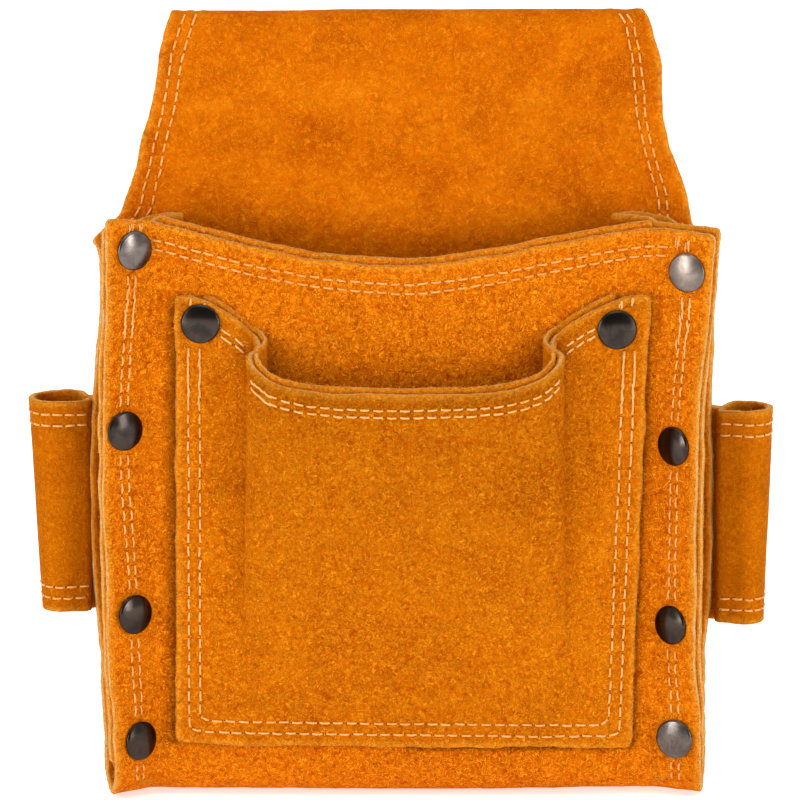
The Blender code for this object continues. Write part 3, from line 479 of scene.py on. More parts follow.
class Ply:
    """A piece of leather from a fine grid of its middle surface, whose normals point to its good side.

    sides says which of its borders are cut edges: first row, last column, last row, first column.
    """

    def __init__(self, name, grid, through=PLY, sides=(True, True, True, True), corner=1.2, rough=0.35, seed=0):
        self.name, self.through, self.sides, self.seed = name, through, sides, seed
        grid = np.array(grid, float)
        along, across = run_lengths(grid, 0), run_lengths(grid, 1)
        self.to_side = (along, across[:, -1:] - across, along[-1:] - along, across)
        far = np.full(grid.shape[:2], 1e3)
        out_u = unit(np.gradient(grid, axis=1))
        out_v = unit(np.gradient(grid, axis=0))
        self.outwards = (-out_v, out_u, out_v, -out_u)
        shift = np.zeros_like(grid)
        for k, (distance, outward, cut) in enumerate(zip(self.to_side, self.outwards, sides)):
            if cut:
                ragged = rough * bumps(grid, 9, seed + k) + 0.45 * rough * bumps(grid, 2.6, seed + k + 4)
                shift += outward * (ragged * (1 - ease(distance, 0, 5)))[..., None]
                far = np.minimum(far, distance)
        for a, b in ((0, 1), (1, 2), (2, 3), (3, 0)):
            if sides[a] and sides[b]:
                pa, pb = (np.clip(corner - self.to_side[k], 0, corner) for k in (a, b))
                qa = pa * np.sqrt(1 - pb * pb / (2 * corner * corner))
                qb = pb * np.sqrt(1 - pa * pa / (2 * corner * corner))
                shift += self.outwards[a] * (qa - pa)[..., None] + self.outwards[b] * (qb - pb)[..., None]
        self.edge = np.clip(far, 0, 60)
        self.middle = grid + shift
        self.normal = normals(self.middle)
        self.good = np.zeros(grid.shape[:2])  # how far the good side stands proud
        self.tone = np.ones(grid.shape[:2])

    def wave(self, *layers):
        """Moves the whole ply along its normal, by (lump size, height) layers of noise."""
        shift = sum(height * bumps(self.middle, size, self.seed + 3 * k + 1)
                    for k, (size, height) in enumerate(layers))
        self.middle = self.middle + self.normal * shift[..., None]
        return self

    def rough(self, *layers):
        """Lumps on the good side only."""
        for k, (size, height) in enumerate(layers):
            self.good += height * bumps(self.middle, size, self.seed + 7 * k + 2)
        return self

    def press(self, rows, depth=0.32, width=1.25):
        """Pulls the good side down along rows of stitches, as seen from the front."""
        flat = self.middle[..., (0, 2)]
        for row in rows:
            row = np.array(row, float)[:, (0, 2)]
            nearest = np.full(flat.shape[:2], 1e9)
            along = np.zeros(flat.shape[:2])
            start = 0.0
            for a, b in zip(row, row[1:]):
                span = np.linalg.norm(b - a)
                t = np.clip(((flat - a) @ (b - a)) / span**2, 0, 1)
                distance = np.linalg.norm(flat - a - t[..., None] * (b - a), axis=-1)
                closer = distance < nearest
                nearest = np.where(closer, distance, nearest)
                along = np.where(closer, start + t * span, along)
                start += span
            beat = 0.72 + 0.28 * np.cos(2 * np.pi * along / PITCH)
            self.good -= depth * beat * np.exp(-((nearest / width) ** 2))
            self.good += 0.12 * np.exp(-(((nearest - 2.2) / 0.9) ** 2))
        return self

    def build(self, good="front", back="side"):
        rows, columns = self.middle.shape[:2]
        count = rows * columns
        half = self.through / 2
        front = self.middle + self.normal * (half + self.good)[..., None]
        rear = self.middle - self.normal * (half - 0.05 * bumps(self.middle, 3, self.seed + 9))[..., None]
        index = np.arange(count).reshape(rows, columns)
        quads = np.stack((index[:-1, :-1], index[:-1, 1:], index[1:, 1:], index[1:, :-1]), axis=-1).reshape(-1, 4)
        loop = np.concatenate((index[0, :-1], index[:-1, -1], index[-1, :0:-1], index[:0:-1, 0]))
        side_of = np.concatenate((np.full(columns - 1, 0), np.full(rows - 1, 1), np.full(columns - 1, 2),
                                  np.full(rows - 1, 3)))
        corners = {0: (3, 0), columns - 1: (0, 1), columns + rows - 2: (1, 2), 2 * columns + rows - 3: (2, 3)}
        outward = np.stack([self.outwards[side].reshape(-1, 3)[i] for side, i in zip(side_of, loop)])
        for place, (a, b) in corners.items():
            i = loop[place]
            outward[place] = sum(self.outwards[k].reshape(-1, 3)[i] for k in (a, b))
        outward = unit(outward)
        cut = np.array([float(self.sides[s]) for s in side_of])
        for place, (a, b) in corners.items():
            cut[place] = float(self.sides[a] and self.sides[b])
        points = [front.reshape(-1, 3), rear.reshape(-1, 3)]
        edge = [self.edge.ravel()] * 2
        tone = [self.tone.ravel()] * 2
        rim_front, rim_rear = front.reshape(-1, 3)[loop], rear.reshape(-1, 3)[loop]
        rings = [loop]
        n = len(loop)
        for k, (share, reach) in enumerate(((0.06, 0.22), (0.28, 0.40), (0.52, 0.46), (0.74, 0.40), (0.94, 0.22))):
            frayed = 0.16 * bumps(rim_front, 1.6, self.seed + 11 + k)
            ring = rim_front + (rim_rear - rim_front) * share
            points.append(ring + outward * (cut * (reach * self.through / PLY + frayed))[:, None])
            edge.append(np.zeros(n))
            tone.append(np.ones(n))
            rings.append(2 * count + k * n + np.arange(n))
        rings.append(count + loop)
        faces = [quads, (quads + count)[:, ::-1]]
        picks = [np.zeros(len(quads)), np.ones(len(quads))]
        for k, (a, b) in enumerate(zip(rings, rings[1:])):
            faces.append(np.stack((a, b, np.roll(b, -1), np.roll(a, -1)), axis=-1))
            picks.append(np.where(cut > 0, 2 if k in (2, 3) else 0, 0))  # the raw finish, half way through
        self.points, self.faces = np.concatenate(points), np.concatenate(faces)
        self.rim = (rim_front, rim_rear, outward, cut, self.normal.reshape(-1, 3)[loop])
        values = {"edge": np.concatenate(edge), "tone": np.concatenate(tone)}
        self.obj = new_object(f"{self.name}_suede", self.points, self.faces, (good, back, "edge"),
                              np.concatenate(picks), values)
        self.tree = BVHTree.FromPolygons(self.points.tolist(), self.faces.tolist())
        return self

    def surface(self, start, direction):
        """Where a ray meets the leather, with the normal there."""
        place, normal, _, _ = self.tree.ray_cast(Vector(start), Vector(direction), 400)
        if place is None:
            place, normal, _, _ = self.tree.find_nearest(Vector(start) + 100 * Vector(direction).normalized())
        normal = np.array(normal)
        return np.array(place), normal if normal @ np.array(direction) < 0 else -normal

    def fuzz(self, each=5.0, length=(0.3, 1.35)):
        """Loose fibres along the cut edges."""
        front, rear, outward, cut, normal = self.rim
        steps = np.linalg.norm(np.roll(front, -1, axis=0) - front, axis=1)
        spots = []
        for k in range(len(front)):
            if cut[k]:
                spots += [k] * random.poisson(each * steps[k])
        k = np.array(spots)
        n = len(k)
        nxt = (k + 1) % len(front)
        t = random.random(n)[:, None]
        depth = (random.random(n) ** 0.8)[:, None]
        base = (front[k] * (1 - t) + front[nxt] * t) * (1 - depth) + (rear[k] * (1 - t) + rear[nxt] * t) * depth
        base = base + outward[k] * 0.12
        lean = unit(outward[k] * (0.45 + 0.5 * random.random((n, 1))) + normal[k] * (0.9 - 1.6 * depth)
                    + 0.75 * random.normal(size=(n, 3)) * 0.6)
        curl = unit(lean + 0.9 * random.normal(size=(n, 3)))
        size = (length[0] + (length[1] - length[0]) * random.random(n) ** 2.2)[:, None]
        return fibres(f"{self.name}_fibres", base, lean, curl, size)


def fibres(name, base, lean, curl, size, radius=0.045):
    """Fine tapering hairs with three sides and one bend."""
    n = len(base)
    side = unit(np.cross(lean, curl) + 1e-6)
    other = np.cross(lean, side)
    middle = base + lean * size * 0.5
    tip = middle + curl * size * 0.5
    points = []
    for centre, r in ((base - lean * 0.15, radius * 1.3), (middle, radius)):
        for k in range(3):
            a = 2 * math.pi * k / 3
            points.append(centre + r * (side * math.cos(a) + other * math.sin(a)))
    points.append(tip)
    points = np.stack(points, axis=1).reshape(-1, 3)
    pattern = [(0, 1, 4), (0, 4, 3), (1, 2, 5), (1, 5, 4), (2, 0, 3), (2, 3, 5), (3, 4, 6), (4, 5, 6), (5, 3, 6),
               (0, 2, 1)]
    faces = (np.arange(n)[:, None, None] * 7 + np.array(pattern)[None]).reshape(-1, 3)
    return new_object(name, points, faces, ("fibre",))


# ------------------------------------------------------------------ stitches
SIDES, RINGS = 8, 9


class Stitches:
    """Single stitches gathered into one object."""

    def __init__(self, name, worn=True):
        self.name, self.lines, self.holes = name, [], []
        self.finishes = ("worn_thread", "worn_hole") if worn else ("thread", "hole")

    def stitch(self, ply, start, end, direction, lift=0.30, thick=THREAD, hole=True):
        """One stitch between two needle holes; start and end lie anywhere on rays that meet the leather."""
        back = np.array(direction, float)
        pair = [ply.surface(np.array(p) - back * 60, back) for p in (start, end)]
        middle = ply.surface((np.array(start) + np.array(end)) / 2 - back * 60, back)
        self.lay(pair[0], middle, pair[1], lift, thick)
        if hole:
            self.holes += [pair[0], pair[1]]

    def lay(self, first, middle, last, lift=0.30, thick=THREAD):
        self.lines.append((first[0], first[1], middle[0], middle[1], last[0], last[1], lift, thick))

    def row(self, ply, points, direction, doubled=0.0):
        """A row of stitches along a polyline; its first part may be sewn twice."""
        at = lengths(points)
        count = max(1, round(at[-1] / PITCH))
        real = at[-1] / count
        for k in range(count):
            a, b = k * real + HOLE_ROOM, (k + 1) * real - HOLE_ROOM
            jog = random.normal(size=(2, 3)) * 0.11
            self.stitch(ply, read_off(points, at, a) + jog[0], read_off(points, at, b) + jog[1], direction,
                        0.30 + 0.05 * random.random())
            if a < doubled:
                jog = random.normal(size=(2, 3)) * 0.3
                mid = real * (0.35 + 0.3 * random.random())
                self.stitch(ply, read_off(points, at, a + mid) + jog[0], read_off(points, at, b + mid) + jog[1],
                            direction, 0.55, hole=False)
        return self

    def build(self, replaces=()):
        """Rings of a two-ply twist along each stitch, with its ends sunk in the leather."""
        points, faces, picks = [], [], []
        t = np.linspace(0, 1, RINGS)
        angle = 2 * np.pi * np.arange(SIDES) / SIDES
        total = 0
        for a, na, m, nm, b, nb, lift, thick in self.lines:
            along = unit(b - a)
            w = np.sin(np.pi * t)
            centre = (((1 - t)**2)[:, None] * a + (2 * t * (1 - t))[:, None] * (2 * m - 0.5 * (a + b))
                      + (t**2)[:, None] * b)
            up = unit((1 - t)[:, None] * na + w[:, None] * nm + t[:, None] * nb)
            centre = centre + up * (-0.55 + (0.55 + lift) * w ** 0.45)[:, None]
            tangent = unit(np.gradient(centre, axis=0))
            across = unit(np.cross(tangent, up))
            over = np.cross(across, tangent)
            turn = random.random() * 6 + 2.6 * np.pi * t * np.linalg.norm(b - a) / PITCH
            radius = thick * (0.72 + 0.28 * w ** 0.5)
            shape = radius[:, None] * (1 + 0.17 * np.cos(2 * (angle[None] - turn[:, None])))
            ring = (centre[:, None] + across[:, None] * (shape * np.cos(angle))[..., None]
                    + over[:, None] * (shape * np.sin(angle))[..., None] * 0.86)
            points.append(ring.reshape(-1, 3))
            points.append(np.stack((centre[0] - tangent[0] * 0.1, centre[-1] + tangent[-1] * 0.1)))
            ends, last = total + RINGS * SIDES, total + (RINGS - 1) * SIDES
            for s in range(SIDES):
                e = (s + 1) % SIDES
                for low in range(total, last, SIDES):
                    faces += [(low + s, low + e, low + SIDES + e), (low + s, low + SIDES + e, low + SIDES + s)]
                faces += [(ends, total + e, total + s), (ends + 1, last + s, last + e)]
            total = ends + 2
        picks += [0] * len(faces)
        # Needle holes as small dark discs: painted shade
        for place, normal in self.holes:
            side = unit(np.cross(normal, (0.1, 0.2, 0.97)))
            other = np.cross(normal, side)
            ring = [place + HOLE_RADIUS * (side * math.cos(a) + other * math.sin(a))
                    for a in np.arange(6) * math.pi / 3]
            points.append(np.array([*ring, place + normal * 0.05, place - normal * 0.2]))
            for k in range(6):
                e = (k + 1) % 6
                faces += [(total + k, total + e, total + 6), (total + e, total + k, total + 7)]
                picks += [1, 1]
            total += 8
        obj = new_object(self.name, np.concatenate(points), faces, self.finishes, picks)
        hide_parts(*replaces)
        return obj


# ------------------------------------------------------------------ front wall
def seam_flare(side, z):
    table = [(height, flare) for flare, step in zip(SEAM_FLARES[side], SEAM_STEPS) for height in step]
    return np.radians(curve(table, z))


def seam_width(side, z):
    return curve(SEAM_WIDTHS[side], z)


FACE_COLUMNS = np.concatenate((np.linspace(0, 76, 77), np.linspace(76.6, 83.4, 12)))


def front_half(side, z):
    """The front wall's outer face in plan at each height: (heights, columns, 2), from the middle outwards."""
    z = np.atleast_1d(z)
    flange = np.linspace(0, 1, 13)[1:]
    crease_end = FACE_COLUMNS[-1]
    width = CREASE_X + seam_width(side, z) - crease_end
    s = np.concatenate((np.tile(FACE_COLUMNS, (len(z), 1)), crease_end + flange[None] * width[:, None]), axis=1)
    depth = curve(FRONT_FACE, s)
    lean = np.arctan(np.gradient(depth, axis=1) / np.gradient(s, axis=1))
    lean = lean * (1 - ease(s, CREASE_X - 3, CREASE_X + 1))
    lean = lean - seam_flare(side, z)[:, None] * ease(s, CREASE_X - 3.2, CREASE_X + 3.2)
    step = np.diff(s, axis=1)
    turn = (lean[:, 1:] + lean[:, :-1]) / 2
    zero = np.zeros((len(z), 1))
    x = np.concatenate((zero, np.cumsum(step * np.cos(turn), axis=1)), axis=1)
    y = FRONT_FACE[0][1] + np.concatenate((zero, np.cumsum(step * np.sin(turn), axis=1)), axis=1)
    return np.stack((side * x, y), axis=-1)


def front_outer(z):
    """The whole front wall's outer face at each height, from left to right."""
    return np.concatenate((front_half(LEFT, z)[:, ::-1], front_half(RIGHT, z)[:, 1:]), axis=1)


def offset_plan(plan, distance):
    """Plan curves moved sideways, towards the pouch's inside for a positive distance."""
    direction = unit(np.gradient(plan, axis=1))
    return plan + distance * np.stack((-direction[..., 1], direction[..., 0]), axis=-1)


def back_half(side, z):
    """The back panel's half width on one side."""
    return curve(BACK_HALF_WIDTHS[side] + HANGER_HALF_WIDTHS[side], z)


def back_depth(x, z):
    share = 1 - ease(z, SHOULDER_Z, HANGER_Z)
    past = np.maximum(0, np.abs(x) - BACK_CREASE)
    bend = past + 1.2 * np.exp(-((np.abs(x) - BACK_CREASE) / 2.4) ** 2) * 0.5
    return curve(FLAP_STEP, z) - bend * math.tan(BACK_FLARE) * share


def at_heights(table_z, plans, heights):
    """Plan curves known at some heights, read at a height for each row and column."""
    low = np.clip(np.searchsorted(table_z, heights) - 1, 0, len(table_z) - 2)
    share = np.clip((heights - table_z[low]) / (table_z[low + 1] - table_z[low]), 0, 1)[..., None]
    column = np.arange(heights.shape[1])[None]
    flat = plans[low, column] * (1 - share) + plans[low + 1, column] * share
    return np.concatenate((flat, heights[..., None]), axis=-1)


def fold_depth(x):
    """How far the bottom fold hangs below FOLD_Z."""
    feet = ease(np.abs(x), *FEET_FROM)
    return FOLD_RADIUS + FOLD_FEET * feet + FOLD_SAG * (1 - feet)


LEVELS = np.linspace(FOLD_Z, 196, 186)
FRONT_PLANS = offset_plan(front_outer(LEVELS), PLY / 2)


def front_panel_grid():
    """Middle surface of the front wall, from the back panel's foot round the bottom fold and up to the rim."""
    foot = FRONT_PLANS[0]
    tops = curve(FRONT_TOP, foot[:, 0])
    shares = np.linspace(0, 1, 172)[1:, None]
    wall = at_heights(LEVELS, FRONT_PLANS, FOLD_Z + shares * (tops[None] - FOLD_Z))
    narrowing = back_half(LEFT, FOLD_Z) / np.where(foot[:, 0] < 0, -foot[0, 0], foot[-1, 0])
    rear_x = foot[:, 0] * narrowing ** ease(np.abs(foot[:, 0]), 60, 92)
    rear = np.stack((rear_x, back_depth(rear_x, FOLD_Z) - PLY / 2), axis=-1)
    rows = []
    for turn in np.linspace(math.pi, 0, 36):
        share = (1 + math.cos(turn)) / 2
        middle = rear * (1 - share) + foot * share
        rows.append(np.concatenate((middle, (FOLD_Z - fold_depth(foot[:, 0]) * math.sin(turn))[:, None]), axis=1))
    return np.concatenate((np.array(rows), wall)), rear


FRONT_GRID, FOLD_REAR = front_panel_grid()


def front_top(x):
    return float(curve(FRONT_TOP, x))


def seam_row(side, along, low, high, steps=24):
    """A stitch row down a front seam, at a distance from the line of its rivets."""
    row = []
    line = list(zip(SEAM_RIVET_HEIGHTS[side], SEAM_RIVETS_AT[side]))[::-1]
    for z in np.linspace(high, low, steps):
        flare = float(seam_flare(side, z))
        at = float(curve(line, z)) + along
        row.append((side * (CREASE_X + at * math.cos(flare)), CREASE_Y - at * math.sin(flare), z))
    return row


def rim_row(drop, low, high, steps=60):
    return [(x, -24, front_top(x) - drop) for x in np.linspace(low, high, steps)]


REACH = CAP_RADIUS + 1.2
SEAM_ALONG = (-1.3, 1.4)
BELOW = 4  # the stretch below the lowest rivet
seam_rows = {}
for side in (LEFT, RIGHT):
    heights = SEAM_RIVET_HEIGHTS[side]
    for number, (upper, lower) in enumerate(zip(heights, heights[1:]), 1):
        seam_rows[side, number] = [seam_row(side, along, lower + REACH, upper - REACH) for along in SEAM_ALONG]
    seam_rows[side, BELOW] = [seam_row(side, along, 3.4, heights[-1] - REACH, 8) for along in SEAM_ALONG]
rim_rows = [rim_row(5.4, -81, 84), rim_row(8.3, -80.5, 83.5)]


front = Ply("front_panel", FRONT_GRID, sides=(False, True, True, True), corner=1.5, rough=0.4, seed=1)
front.wave((38, 0.5), (14, 0.18))
front.rough((5, 0.10), (2.2, 0.09))
front.press([row for rows in seam_rows.values() for row in rows] + rim_rows)
# Painted shadow of the pocket on the wall, wider on its left, and painted shade behind the corners of its opening
across, up = front.middle[..., 0], front.middle[..., 2]
on_left = across < 0
beyond = np.abs(across) - np.where(on_left, *(curve(POCKET_EDGES[side], up) for side in (LEFT, RIGHT)))
below = np.where(on_left, POCKET_BOTTOM[LEFT], POCKET_BOTTOM[RIGHT]) - up
outside = np.hypot(np.maximum(beyond, 0), np.maximum(below, 0))
spill = np.where(below > beyond, 1.1, np.where(on_left, 2.7, 1.2))
shade = np.exp(-((outside - 0.5) / spill) ** 2) * (outside > 0.01) * (1 - ease(up, 156, 164))
mouth_shade = np.exp(-(((np.abs(across) - 46) / 6) ** 2) - ((up - 141) / 7) ** 2)
front.tone -= (np.where(on_left, 0.55, 0.62) * shade + 0.42 * mouth_shade) * (front.normal[..., 1] < 0)
front.build("front", "side")
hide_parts("front_panel")

band_x = np.linspace(-FRONT_BAND_HALF, FRONT_BAND_HALF, 158)
band_plans = np.stack([np.stack((band_x, np.interp(band_x, plan[:, 0], plan[:, 1])), axis=-1)
                       for plan in offset_plan(front_outer(LEVELS), BEHIND)])
band_tops = curve(FRONT_TOP, band_x) + FRONT_BAND_RISE
band_heights = band_tops[None] - BAND_WIDTH * (1 - np.linspace(0, 1, 16)[:, None])
band = Ply("front_panel_band", at_heights(LEVELS, band_plans, band_heights), rough=0.35, seed=2)
band.wave((30, 0.1)).rough((4, 0.08)).build("front", "side")
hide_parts("front_panel_band")

# ------------------------------------------------------------------ back panel, hanger and belt tunnel
back_shares = np.linspace(-1, 1, 196)


def back_widths(z):
    """The back panel's half width at one height, for each of back_shares."""
    return np.where(back_shares < 0, float(back_half(LEFT, z)), float(back_half(RIGHT, z)))


def back_panel_grid():
    """Middle surface of the back panel, from the bottom fold up, over the hanger's top and down to the sewn edge."""
    rows = []
    foot = np.interp(np.linspace(0, 1, len(back_shares)), np.linspace(0, 1, len(FOLD_REAR)), FOLD_REAR[:, 0])
    for z in np.concatenate((np.linspace(FOLD_Z, 176, 165), np.linspace(176, 190, 15)[1:],
                             np.linspace(190, 235, 46)[1:])):
        share = ease(z, FOLD_Z, 20)
        x = back_shares * back_widths(z) * share + foot * (1 - share)
        rows.append(np.stack((x, back_depth(x, z) - PLY / 2, np.full_like(x, z)), axis=-1))
    radius = (TUNNEL_INSIDE + PLY) / 2
    turn_z = TOP_Z - PLY / 2 - radius
    front_y = FLAP_STEP[-1][1] - PLY / 2
    sewn_y = FLAP_STEP[-1][1] + GAP + PLY / 2
    flap_y = front_y + 2 * radius
    path = [(front_y, 235.5), (front_y, turn_z)]
    path += [(front_y + radius - radius * math.cos(a), turn_z + radius * math.sin(a))
             for a in np.linspace(0, math.pi, 16)[1:]]
    path += [(flap_y, 205), (flap_y, TUNNEL_BOTTOM_Z + 9), (flap_y - 1.0, TUNNEL_BOTTOM_Z + 5),
             (sewn_y + 3.2, TUNNEL_BOTTOM_Z + 0.5), (sewn_y + 0.7, TUNNEL_BOTTOM_Z - 3.2)]
    path += [(sewn_y, TUNNEL_BOTTOM_Z - 7), (sewn_y, FLAP_SEWN_Z)]
    line = soften([(*p, 0) for p in path], 3, 2)[:, :2]
    at = lengths(line)
    for s in np.linspace(0, at[-1], int(at[-1]) + 1):
        y, z = read_off(line, at, s)
        share = ease(s, 12, 30)
        x = back_shares * (back_widths(z if s < 30 else 235) * (1 - share) + FLAP_HALF_WIDTH * share)
        rows.append(np.stack((x, np.full_like(x, y), np.full_like(x, z)), axis=-1))
    return np.array(rows)


HANGER_INSETS = {LEFT: (3.4, 6.9), RIGHT: (5.5, 8.1)}
HANGER_BEND = {LEFT: ((181, 2.4), (190, 1.6), (203, 0.4), (225, 0), (249.6, 0.9)),
               RIGHT: ((181, 1.6), (190, 0.9), (203, 0.1), (225, 0), (236, 0.2), (243, -0.1), (249.6, -1.3))}


def hanger_row(side, inset, low=181, high=249.2, steps=34):
    """A stitch row along the hanger's edge, a little further in at its foot and its top."""
    return [(side * (float(back_half(side, z)) - inset - float(curve(HANGER_BEND[side], z))), -2, z)
            for z in np.linspace(low, high, steps)]


hanger_rows = {side: [hanger_row(side, inset) for inset in HANGER_INSETS[side]] for side in (LEFT, RIGHT)}
back = Ply("back_panel", back_panel_grid(), sides=(False, True, True, True), corner=2.0, rough=0.4, seed=3)
back.wave((42, 0.35), (16, 0.12))
back.rough((6, 0.07), (2.6, 0.05))
back.press([row for rows in hanger_rows.values() for row in rows])
up = back.middle[..., 2]
# Painted light on the hanger's lower front, which the front wall shades
back.tone += 0.12 * (1 - ease(up, 186, 212)) * (back.middle[..., 1] < 0) * (up > 150)
back.build("hanger", "hanger")
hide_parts("back_panel")


# ------------------------------------------------------------------ gussets
def gusset_grid(side):
    """Rows of one gusset, from its outer edge at the back, in to its fold and out to the front seam's edge."""
    table_z = np.linspace(0, 187, 64)
    plans = []
    inside = offset_plan(front_half(side, np.maximum(table_z, FOLD_Z)), side * BEHIND)
    places = np.concatenate((np.linspace(0, 2, 18), np.linspace(2, 6, 66)[1:], np.linspace(6, 8, 18)[1:]))
    for z, front_plan in zip(table_z, inside):
        width = float(back_half(side, z))
        outer = [(x, float(back_depth(x, z)) - BEHIND / math.cos(BACK_FLARE))
                 for x in (width - 3.2, (width + BACK_CREASE) / 2)]
        crease = (BACK_CREASE - 1.4, float(curve(FLAP_STEP, z)) - BEHIND)
        at = [(abs(p[0]), p[1]) for p in front_plan]
        front_edge, front_mid, front_crease = at[-1], at[-6], at[82]
        fold_x = float(curve(GUSSET_FOLD_X[side], z)) + GUSSET_SPLAY * (1 - float(ease(z, *GUSSET_SPLAY_AT)))
        fold = (fold_x, (crease[1] + front_crease[1]) / 2)
        near_back = (fold_x + 0.4 * (crease[0] - fold_x), crease[1] - 1.2)
        near_front = (fold_x + 0.8 * (front_crease[0] - fold_x), front_crease[1] + 2.6)
        path = [*outer, crease, near_back, fold, near_front, front_crease, front_mid, front_edge]
        line = soften([(*p, k) for k, p in enumerate(path)], 3.0, 3)
        plans.append(read_off(line[:, :2], line[:, 2], places))
    plans = np.array(plans)
    tops = curve([(k, top) for k, top in enumerate(GUSSET_TOPS)], places)
    rear_y, front_y = plans[4, 10, 1], plans[4, -10, 1]
    across = np.clip((2 * plans[4, :, 1] - rear_y - front_y) / (rear_y - front_y), -1, 1)
    lows = FOLD_Z - 0.8 - (fold_depth(plans[4, :, 0]) - NEXT_PLY - GAP) * np.sqrt(1 - across**2)
    shares = np.linspace(0, 1, 150)[:, None]
    grid = at_heights(table_z, plans, lows[None] + shares * (tops - lows)[None])
    grid[..., 0] *= side
    return grid


gussets = {}
for side in (LEFT, RIGHT):
    grid = gusset_grid(side)
    if side == RIGHT:
        grid = grid[:, ::-1]
    name = f"{SIDE_NAMES[side]}_gusset"
    made = Ply(name, grid, rough=0.4, seed=5 + side)
    made.wave((26, 0.12)).rough((4, 0.08)).build("side", "side")
    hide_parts(name)
    gussets[side] = made


# ------------------------------------------------------------------ front pocket
POCKET_PLACES = np.concatenate((np.linspace(0, 0.8, 40), np.linspace(0.8, 1.35, 18)[1:],
                                np.linspace(1.35, 2.0, 22)[1:], np.linspace(2.0, 3, 27)[1:]))
POCKET_LEVELS = np.linspace(14, 168, 155)
seat_line = offset_plan(np.array([[(x, float(curve(FRONT_FACE, x))) for x in np.linspace(0, 82, 83)]]),
                        -POCKET_GAP - PLY / 2)[0]
# The pocket's S-shaped side where it is deepest: (place, half width, share of the depth)
PLEAT = ((0, 0, 1.03), (0.5, 25, 1.02), (0.8, 39.5, 1.0), (0.92, 44.0, 0.95), (1.03, 47.2, 0.84), (1.15, 48.9, 0.69),
         (1.35, 49.3, 0.52), (1.55, 48.2, 0.37), (1.7, 46.8, 0.26), (1.82, 46.4, 0.15),
         (1.93, 47.4, 0.04), (2.0, 49.2, 0))


def seat(x):
    return float(np.interp(x, seat_line[:, 0], seat_line[:, 1]))


def pocket_section(side, z):
    """The pocket's middle surface in plan at one height, one point for each of POCKET_PLACES."""
    share = max(0.0, min(1.0, (z - POCKET_PLEAT_BOTTOM) / (133 - POCKET_PLEAT_BOTTOM)))
    outer = float(curve(POCKET_EDGES[side], z))
    places = [row[0] for row in PLEAT]
    flat_x = np.interp(places, (0, 0.5, 1.03, 2.0), (0, 25, 48, 55.5))
    path = []
    for (place, x, deep), flat in zip(PLEAT, flat_x):
        x = flat + (x - flat) * share**0.8
        path.append((x, seat(x) - POCKET_DEPTH * share * deep, place))
    middle_x = (path[-1][0] + outer) / 2
    path += [(middle_x, seat(middle_x), 2.5), (outer, seat(outer), 3)]
    line = soften(path, 3.0, 2)
    return read_off(line[:, :2], line[:, 2], POCKET_PLACES)


def pocket_plans():
    halves = {side: np.array([pocket_section(side, z) for z in POCKET_LEVELS]) for side in (LEFT, RIGHT)}
    halves[LEFT][..., 0] *= -1
    return np.concatenate((halves[LEFT][:, ::-1], halves[RIGHT][:, 1:]), axis=1)


POCKET_PLANS = pocket_plans()
signed = np.concatenate((-POCKET_PLACES[::-1], POCKET_PLACES[1:]))
pocket_tops = curve(POCKET_TOP, np.abs(signed))
pocket_lows = np.interp(signed, (-3, 3), (POCKET_BOTTOM[LEFT], POCKET_BOTTOM[RIGHT]))


def pocket_lift(grid, behind=0.0):
    """Room for the second ply under the pocket's upper edge, where its sides lie on the front wall."""
    flat = ease(np.abs(signed), 1.9, 2.25)[None]
    near = ease(grid[..., 2], pocket_tops[None] - 17, pocket_tops[None] - 10)
    lift = flat * near * (POCKET_BAND_THICK + 0.3)
    return grid + normals(grid) * (lift - behind)[..., None]


def front_pocket_top(x):
    """The height of the pocket's upper edge at a distance from the middle, on its flat flanges."""
    side = LEFT if x < 0 else RIGHT
    inner = PLEAT[-1][1]
    return float(curve(POCKET_TOP, 2 + (abs(x) - inner) / (float(curve(POCKET_EDGES[side], 160)) - inner)))


pocket_heights = pocket_lows[None] + np.linspace(0, 1, 134)[:, None] * (pocket_tops - pocket_lows)[None]
pocket_grid = pocket_lift(at_heights(POCKET_LEVELS, POCKET_PLANS, pocket_heights))


def edge_x(side, z):
    return side * float(curve(POCKET_EDGES[side], z))


def pocket_u_row(inset, corner, high_left=146, high_right=145):
    """A row down one side of the pocket, along its bottom and up the other side."""
    low = {side: POCKET_BOTTOM[side] + inset for side in (LEFT, RIGHT)}
    left = [(edge_x(LEFT, z) + inset, z) for z in np.linspace(high_left, low[LEFT] + corner, 40)]
    right = [(edge_x(RIGHT, z) - inset, z) for z in np.linspace(low[RIGHT] + corner, high_right, 40)]
    bottom = [(x, np.interp(x, (left[-1][0], right[0][0]), (low[LEFT], low[RIGHT])))
              for x in np.linspace(left[-1][0] + corner, right[0][0] - corner, 40)]
    return [(x, -30, z) for x, z in left + bottom + right]


def pocket_rim_row(drop, low, high, steps=60):
    """A row below the pocket's upper edge, between two places across it."""
    places = np.linspace(low, high, steps)
    columns = np.interp(places, signed, np.arange(len(signed)))
    row = []
    for place, column in zip(places, columns):
        z = float(curve(POCKET_TOP, abs(place))) - drop
        level = np.interp(z, POCKET_LEVELS, np.arange(len(POCKET_LEVELS)))
        row.append((*read_off(POCKET_PLANS[int(level)], np.arange(len(signed)), column), z))
    return row


u_rows = [pocket_u_row(3.6, 1.3), pocket_u_row(7.2, 0.6)]
pocket_rim_rows = [pocket_rim_row(drop, -1.2, 1.2, 90) for drop in (4.5, 6.9)]
shoulder_rows = [[pocket_rim_row(drop, sign * 2.42, sign * 2.06, 16) for drop in (5.9, 8.3)] for sign in (-1, 1)]

pocket = Ply("front_pocket", pocket_grid, corner=1.7, rough=0.4, seed=11)
pocket.wave((30, 0.32), (12, 0.12))
pocket.rough((4.5, 0.08), (2.0, 0.05))
pocket.press(u_rows + pocket_rim_rows + shoulder_rows[0] + shoulder_rows[1])
